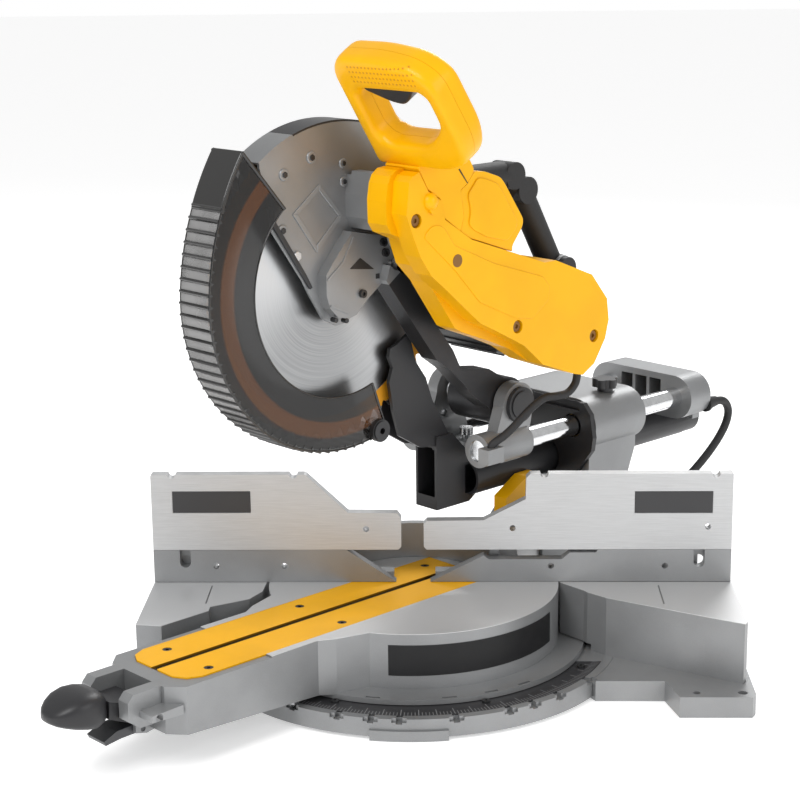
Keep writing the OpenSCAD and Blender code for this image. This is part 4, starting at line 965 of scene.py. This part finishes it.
def scale_material():
    """White graduations on the dark mitre scale."""
    m = Mat("mitre_scale", (0.022, 0.022, 0.024), 0.35)
    x, y, z = m.xyz()
    u, v = x - MITRE.x, y - MITRE.y
    r = (u * u + v * v).sqrt()
    deg = u.atan2(-v) * (180 / math.pi) + 180.0
    one = 0.5 - ((deg + 0.5).fract() - 0.5).abs()
    five = 0.5 - (((deg / 5.0) + 0.5).fract() - 0.5).abs()
    small = (one < 0.10) * (r > 0.187) * (r < 0.194)
    large = (five < 0.024) * (r > 0.181) * (r < 0.194)
    mark = small.max(large)
    m.paint(m.mix(mark, (0.022, 0.022, 0.024), (0.22, 0.22, 0.225)))
    m.gloss(0.3 + m.noise(500, 2) * 0.12)
    return m.done()


dress("scale_plate", scale_material())
for n in ("base_casting", "turntable"):
    dress(n, M["table"])
dress("kerf_screws", M["dark_steel"])
dress("fence_bolts", M["black"])
dress("yoke", M["cast"])
# bare dark plate round the front of the turntable
PLATE_R, PLATE_Z = 145.8, (39.5, 70.0)
PLATE_FROM, PLATE_SPAN, PLATE_STEPS = -98.3, 75.8, 32
bm = bmesh.new()
lo_ring, hi_ring = [], []
for k in range(PLATE_STEPS + 1):
    x, y = polar((0, 0), PLATE_R, PLATE_FROM + PLATE_SPAN * k / PLATE_STEPS)
    for ring, z in zip((lo_ring, hi_ring), PLATE_Z):
        ring.append(bm.verts.new(Vector((x, y, z)) / 1000 + MITRE))
for k in range(PLATE_STEPS):
    bm.faces.new((lo_ring[k], lo_ring[k + 1], hi_ring[k + 1], hi_ring[k]))
bmesh.ops.solidify(bm, geom=bm.faces, thickness=-0.0005)
bmesh.ops.recalc_face_normals(bm, faces=bm.faces)
new_piece("turntable_plate", bm, PLATE, "turntable", "grey_plastic", 40)

# ---- Floor and light ----
bm = bmesh.new()
bmesh.ops.create_grid(bm, x_segments=1, y_segments=1, size=14.0)
floor_mesh = bpy.data.meshes.new("floor")
bm.to_mesh(floor_mesh)
bm.free()
floor = bpy.data.objects.new("floor", floor_mesh)
floor.location.z = -0.0005
bpy.context.scene.collection.objects.link(floor)
pale = Mat("floor", (0.93, 0.93, 0.93), 0.6)
pale.b.inputs["Emission Color"].default_value = (1, 1, 1, 1)
pale.b.inputs["Emission Strength"].default_value = 0.42
floor_mesh.materials.append(pale.done())
world = bpy.data.worlds.new("studio")
bpy.context.scene.world = world
world.use_nodes = True
bg = world.node_tree.nodes["Background"]
bg.inputs["Color"].default_value = (1, 1, 1, 1)
# the camera sees the studio brighter than it lights the saw
paths = world.node_tree.nodes.new("ShaderNodeLightPath")
pick = world.node_tree.nodes.new("ShaderNodeMapRange")
pick.inputs["To Min"].default_value = 0.56
pick.inputs["To Max"].default_value = 1.0
world.node_tree.links.new(paths.outputs["Is Camera Ray"], pick.inputs["Value"])
world.node_tree.links.new(pick.outputs["Result"], bg.inputs["Strength"])


def area(name, where, aim, size, power):
    """A soft lamp at where, turned to aim."""
    d = bpy.data.lights.new(name, "AREA")
    d.shape, d.size, d.size_y, d.energy = "RECTANGLE", size[0], size[1], power
    o = bpy.data.objects.new(name, d)
    o.location = where
    o.rotation_euler = (Vector(aim) - Vector(where)).to_track_quat("-Z", "Y").to_euler()
    bpy.context.scene.collection.objects.link(o)


area("key", (-1.2, -1.6, 2.2), (0, 0, 0.2), (1.2, 1.2), 38)
area("fill", (1.6, -1.2, 1.2), (0, 0, 0.25), (1.2, 1.2), 12)
area("rim", (0.6, 1.8, 1.8), (0, 0, 0.3), (1.2, 0.8), 26)

# ---- How far each named thing shows from its image point ----
def corners_of(o):
    """Where each vertex of a finished object shows, in image pixels."""
    depth = bpy.context.evaluated_depsgraph_get()
    me = o.evaluated_get(depth).to_mesh()
    out = [shown_at(o.matrix_world @ v.co) for v in me.vertices]
    o.evaluated_get(depth).to_mesh_clear()
    return out


def middle(name):
    """The middle of an object's box in the image."""
    o = bpy.data.objects.get(name) or NODES[name]
    px = corners_of(o)
    xs, ys = [p[0] for p in px], [p[1] for p in px]
    return ((min(xs) + max(xs)) / 2, (min(ys) + max(ys)) / 2)


fences = {n: corners_of(NODES[n]) for n in ("right_sliding_fence", "left_sliding_fence")}
lock_px, grip_px = corners_of(paddle), corners_of(front)
shown = {
    "object_left": min(lock_px, key=lambda p: p[0]),
    "object_bottom": max(lock_px, key=lambda p: p[1]),
    "object_right": min(fences["right_sliding_fence"], key=lambda p: p[1] - 2 * p[0]),
    "left_fence_corner": min(fences["left_sliding_fence"], key=lambda p: p[0] + p[1]),
    "object_top": min(grip_px, key=lambda p: p[1] + 0.35 * p[0]),
    "handle_right": max(grip_px, key=lambda p: p[0]),
}
for key in IMAGE:
    if key not in shown:
        shown[key] = middle(key)
rows = {k: {"point": list(IMAGE[k]), "shown": [round(v, 1) for v in shown[k]],
            "off": [round(a - b, 1) for a, b in zip(shown[k], IMAGE[k])]} for k in IMAGE}
